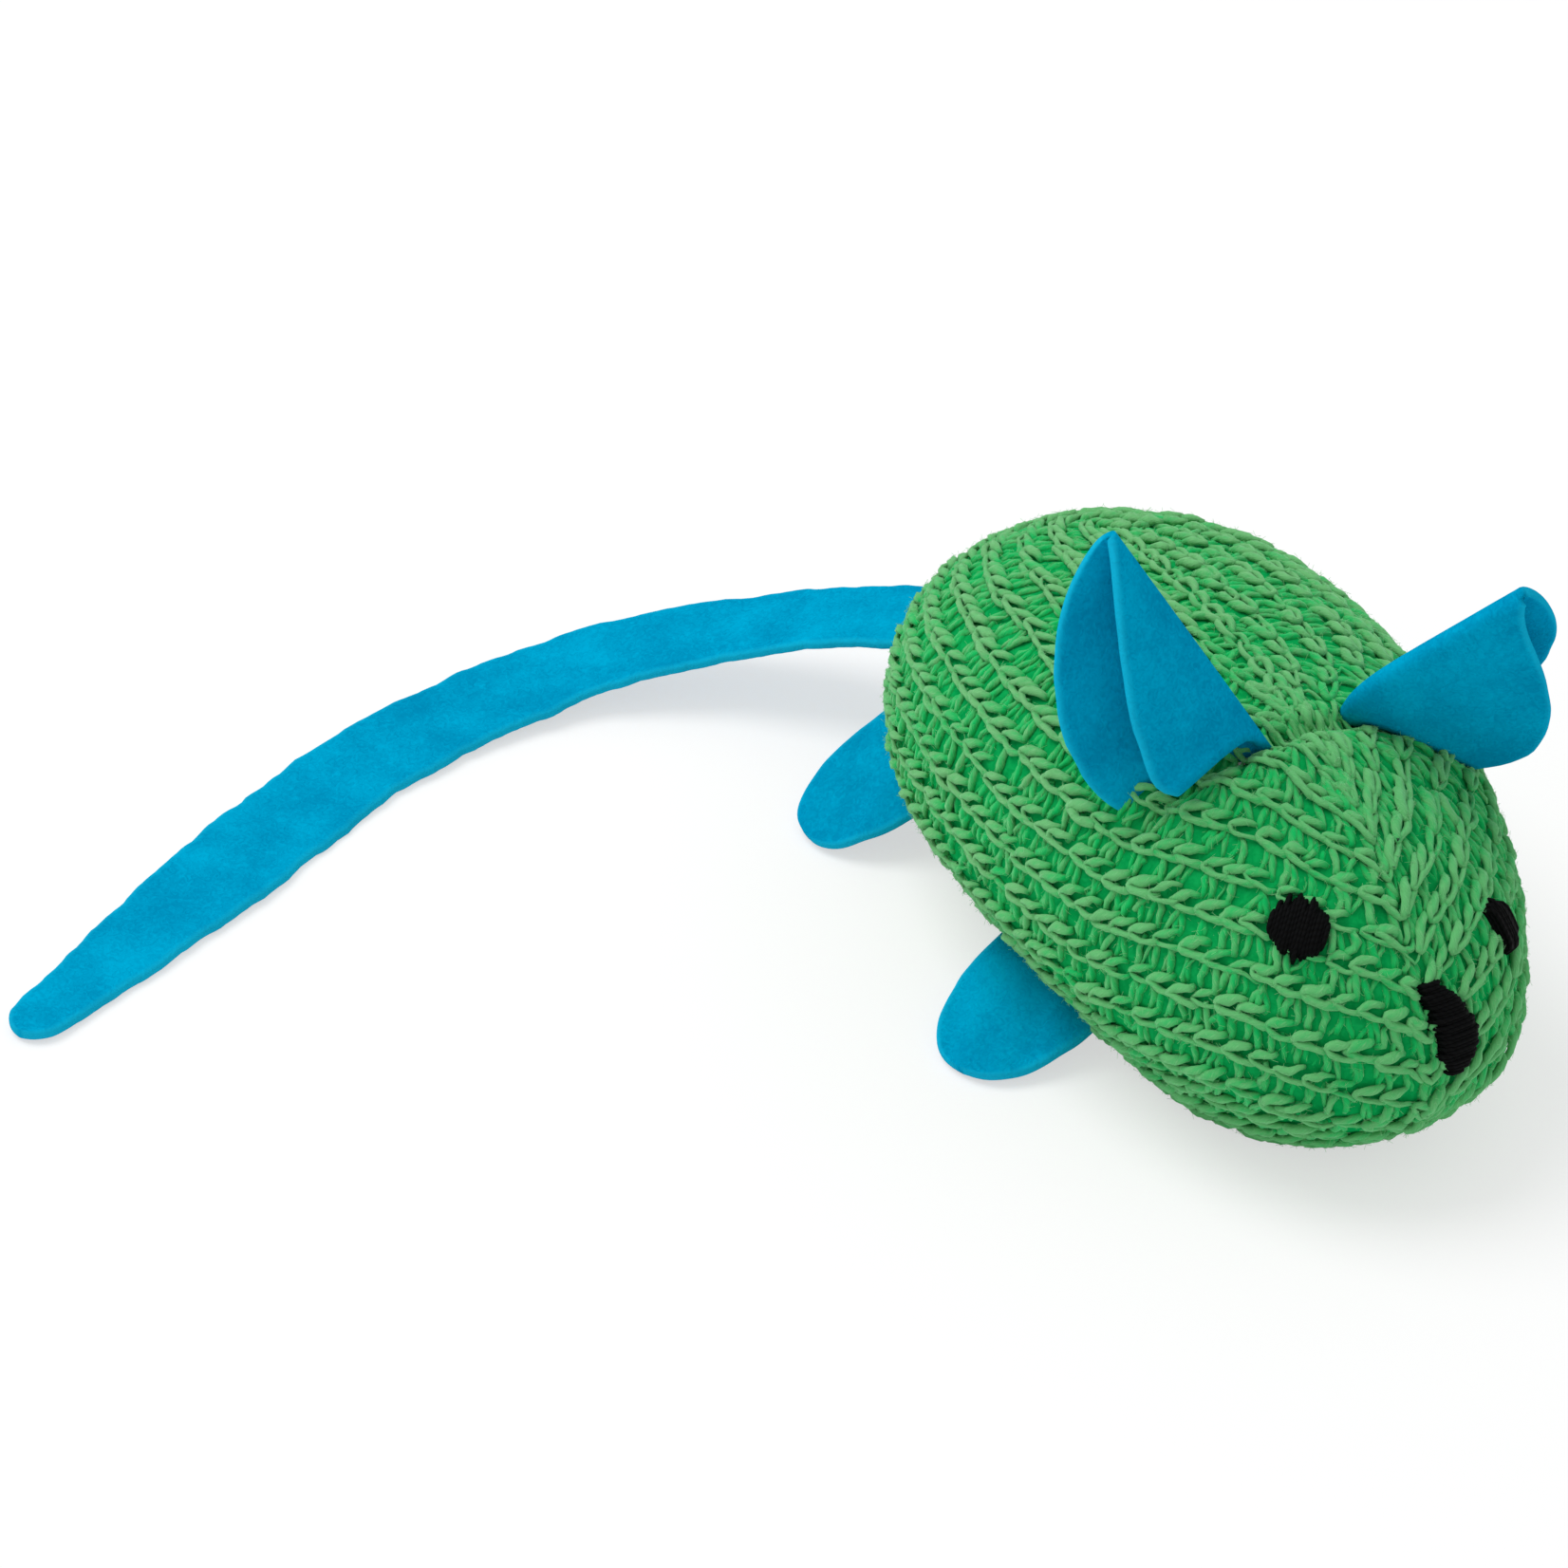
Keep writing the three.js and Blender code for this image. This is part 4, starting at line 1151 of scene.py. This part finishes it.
def tail_route():
    """The tail's centre line and the distance along it.

    It is a curve through the root and the route's points, its knots spaced by the roots of their distances.
    """
    root = skin(TAIL_TURN, belly_rise(TAIL_TURN, TAIL_ROOT_HEIGHT))
    floor = FELT / 2 + FLOOR_GAP
    start = np.array([root[0], root[1], floor])
    route = start + np.array(TAIL_ROUTE) * (TAIL_REACH, TAIL_REACH, root[2] - floor)
    inwards = TAIL_ROOT_DEPTH * unit(root - route[0])
    knots = np.concatenate([[root + inwards, root], route])
    knots = np.concatenate([[2 * knots[0] - knots[1]], knots, [2 * knots[-1] - knots[-2]]])
    gaps = np.linalg.norm(np.diff(knots, axis=0), axis=1) ** 0.5
    t = np.linspace(0, 1, 60)[:, None]
    pieces = []
    for first, (before, gap, after) in enumerate(zip(gaps, gaps[1:], gaps[2:])):
        p0, p1, p2, p3 = knots[first : first + 4]
        leave = gap * ((p1 - p0) / before - (p2 - p0) / (before + gap) + (p2 - p1) / gap)
        arrive = gap * ((p2 - p1) / gap - (p3 - p1) / (gap + after) + (p3 - p2) / after)
        bend = -3 * p1 + 3 * p2 - 2 * leave - arrive
        twist = 2 * p1 - 2 * p2 + leave + arrive
        pieces.append((p1 + t * (leave + t * (bend + t * twist)))[:-1])
    line = np.concatenate([*pieces, knots[-2:-1]])
    tucked = line[:1] + TAIL_TUCK * unit(line[:1] - line[1:2])
    return np.concatenate([tucked, line]), np.concatenate([[-TAIL_TUCK], distances(line)])


def along_line(place, line, run):
    """Points of a line at distances along it."""
    return np.stack([np.interp(place, run, line[:, axis]) for axis in range(3)], axis=-1)


def tail_width(place, length):
    """The strip's width: even, then tapered by a power of the way on, then round at the tip."""
    taper = np.clip((place / length - TAIL_TAPER_FROM) / (1 - TAIL_TAPER_FROM), 0, 1)
    width = TAIL_WIDTH + (TAIL_TIP_WIDTH - TAIL_WIDTH) * taper**TAIL_TAPER_POWER
    past = np.clip(place - length + TAIL_ROUNDING, 0, TAIL_ROUNDING) / (TAIL_ROUNDING + 0.05)
    return width * np.sqrt(1 - past**2)


def tail():
    """One felt strip in three pieces, each holding one joint, that meet in the middle of a stretch.

    A row close to each end keeps the shading level up to where two pieces meet.
    """
    line, run = tail_route()
    length = run[-1]
    joints = TAIL_ROOT_DEPTH + (length - TAIL_ROOT_DEPTH) * np.arange(4) / 3
    meets = [-TAIL_TUCK, (joints[0] + joints[1]) / 2, (joints[1] + joints[2]) / 2, length]
    bodies = ["body", "tail_base", "tail_middle", "tail_tip"]
    long_luck, short_luck = TAIL_EDGE_LUCK
    close, look = 0.02, 0.5
    for step, (rows, columns) in enumerate(TAIL_MESH):
        start, end = meets[step], meets[step + 1]
        spread = np.linspace(0, 1, rows) if step < 2 else np.sin(np.linspace(0, np.pi / 2, rows))
        place = np.sort(np.concatenate([start + (end - start) * spread, [start + close, end - close]]))
        ahead = along_line(np.minimum(place + look, length), line, run)
        travel = unit(ahead - along_line(place - look, line, run))
        across = unit(np.cross(travel, UP))
        thick = np.cross(across, travel)
        width = tail_width(place, length)
        sway = even_sway(columns)
        edges = []
        for wave, seed in TAIL_EDGE_WAVES:
            edge = long_luck * wobble(place, wave, seed) + short_luck * wobble(place, TAIL_SHORT_WAVE, seed)
            edges.append(edge[:, None])
        ragged = np.where(sway > 0, *edges)
        sideways = sway * width[:, None] / 2 + ragged * sway**2 * (width / TAIL_WIDTH)[:, None]
        lie = TAIL_WAVE * wobble(place[:, None] + 0.4 * sideways, TAIL_WAVE_LENGTH, 5)
        lie = lie * np.clip(place / 30, 0, 1)[:, None]
        centre = along_line(place, line, run)
        middle = centre[:, None] + sideways[..., None] * across[:, None] + lie[..., None] * thick[:, None]
        first = joints[step] - (TAIL_BEND if step else 0)
        bend = along_line(np.array([first, joints[step] + TAIL_BEND]), line, run)
        cut = (TAIL_WIDTH, end - start)
        share = min((np.diff(place) * width[1:]).sum() / (cut[0] * cut[1]), 1)
        felt_piece(bodies[step + 1], middle, bend, cut, share)


# Stage
def stage():
    """A pale floor that stays nearly white to the camera, a soft white world and one large lamp."""
    material = bpy.data.materials.new("floor")
    material.use_nodes = True
    tree = material.node_tree
    tree.nodes.clear()
    shade = Shade(tree)
    white = shade.node("BsdfDiffuse", {}, {"Color": (FLOOR_WHITE, FLOOR_WHITE, FLOOR_WHITE, 1)})
    glow = shade.node("Emission", {}, {"Color": (1, 1, 1, 1), "Strength": 1.0})
    path = shade.node("LightPath")
    seen = path.maths("MAXIMUM", path, path.beside("Is Glossy Ray"))
    mixed = shade.node("MixShader", {}, {0: seen * FLOOR_GLOW, 1: white, 2: glow})
    out = tree.nodes.new("ShaderNodeOutputMaterial")
    tree.links.new(mixed.socket, out.inputs["Surface"])
    points = FLOOR_REACH * np.array([(-1, -1, 0), (1, -1, 0), (1, 1, 0), (-1, 1, 0)])
    new_piece("floor", plain_net(points, [np.array([[0, 1, 2, 3]])]), material)

    world = bpy.data.worlds.new("studio")
    world.use_nodes = True
    background = world.node_tree.nodes["Background"]
    background.inputs["Color"].default_value = (1, 1, 1, 1)
    background.inputs["Strength"].default_value = WORLD_LIGHT
    bpy.context.scene.world = world

    lamp = bpy.data.lights.new("key", "AREA")
    lamp.shape = "DISK"
    lamp.size = LAMP_SIZE
    lamp.energy = LAMP_POWER
    key = bpy.data.objects.new("key", lamp)
    bpy.context.scene.collection.objects.link(key)
    place = np.array(LAMP_PLACE) * MM
    back = unit(place)
    right = unit(np.cross(UP, back))
    key.matrix_world = placed(right, np.cross(back, right), back, place)


def placed(right, up, back, place):
    """The matrix of an object at a place that looks away from its back."""
    axes = np.stack([right, up, back], axis=1)
    return Matrix([[*axis, at] for axis, at in zip(axes, place)] + [[0, 0, 0, 1]])


def camera():
    """The photograph's camera, given by its place and its right, up and back directions."""
    data = bpy.data.cameras.new("camera")
    data.lens = LENS
    data.sensor_width = SENSOR
    data.clip_start = 0.01
    data.clip_end = 20
    eye = bpy.data.objects.new("camera", data)
    bpy.context.scene.collection.objects.link(eye)
    eye.matrix_world = placed(CAMERA_RIGHT, CAMERA_UP, CAMERA_BACK, np.array(CAMERA_PLACE) * MM)
    bpy.context.scene.camera = eye


def on_body(piece, slot, *nodes):
    """A piece that stays with the body, in place of the named solids; the slot it is given is not used."""
    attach(piece, "body")
    if nodes:
        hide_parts(*nodes)


camera()
stage()
bpy.context.scene.view_settings.view_transform = "Standard"
YARN_GREEN = yarn_material()
fibre_look = {"noise": (200.0,), "spread": (0.35, 0.65), "roughness": 0.9, "specular": 0.0}
FIBRE = mottled_material("green_yarn_fibres", FIBRE_TONES, **fibre_look)
backing_look = {"noise": (900.0, 4.0, 0.6), "spread": (0.3, 0.75), "bump": (0.8, 0.0004), "specular": 0.0}
BACKING = mottled_material("green_yarn_backing", BACKING_TONES, **backing_look)
FELT_BLUE = felt_material()
THREAD_BLACK = thread_material()
FILL_WHITE = loose_material("fibre_fill", FILL_TONES, 250.0)
MUSLIN = loose_material("muslin", MUSLIN_TONES, 1800.0)
LEAF = loose_material("dried_leaf", LEAF_TONES, 700.0)

parts = stitches()
other_covers = {"head": "head_cover", "base": "base_cover"}
for part, rows in parts.items():
    piece = new_piece(part + "_stitches", join([strand_net(strands) for strands in rows]), YARN_GREEN)
    on_body(piece, "green_yarn", other_covers.get(part, "body_cover"))
for part, make, node in (
    ("ridge", ridge_chain, "body_cover"),
    ("ear_seam", ear_seam, "ear_seam_thread"),
    ("base_seam", base_seam, "base_seam_thread"),
):
    on_body(new_piece(part + "_stitches", make(), YARN_GREEN), "green_yarn", node)
on_body(new_piece("yarn_fibres", fuzz(parts), FIBRE), "green_yarn")
stuffed_cover = new_piece("cover_backing", backing(), BACKING)
on_body(stuffed_cover, "green_yarn")

fill = new_piece("fibre_filling", stuffing(), FILL_WHITE)
on_body(fill, "fibre_fill", "stuffing_rear", "stuffing_front")
bag = new_piece("catnip_bag", pouch(), MUSLIN)
on_body(bag, "muslin", "catnip_pouch")
on_body(new_piece("catnip_leaf", leaf(), LEAF), "dried_leaf", "catnip_fill")
on_body(new_piece("bag_tie", tie(), YARN_GREEN), "green_yarn", "pouch_tie")

for node, eye in (("eye_right", EYE_RIGHT), ("eye_left", EYE_LEFT)):
    on_body(new_piece(node + "_thread", eye_stitches(eye), THREAD_BLACK), "black_thread", node)
on_body(new_piece("nose_thread", nose_stitches(), THREAD_BLACK), "black_thread", "nose")
ear("ear_right", -1, EAR_RIGHT, 11)
ear("ear_left", 1, EAR_LEFT, 12)
for number, (end_name, spot) in enumerate((("front", FRONT_FOOT), ("rear", REAR_FOOT))):
    foot(f"foot_{end_name}_right", -1, **spot, seed=20 + number)
    foot(f"foot_{end_name}_left", 1, **spot, seed=30 + number)
tail()
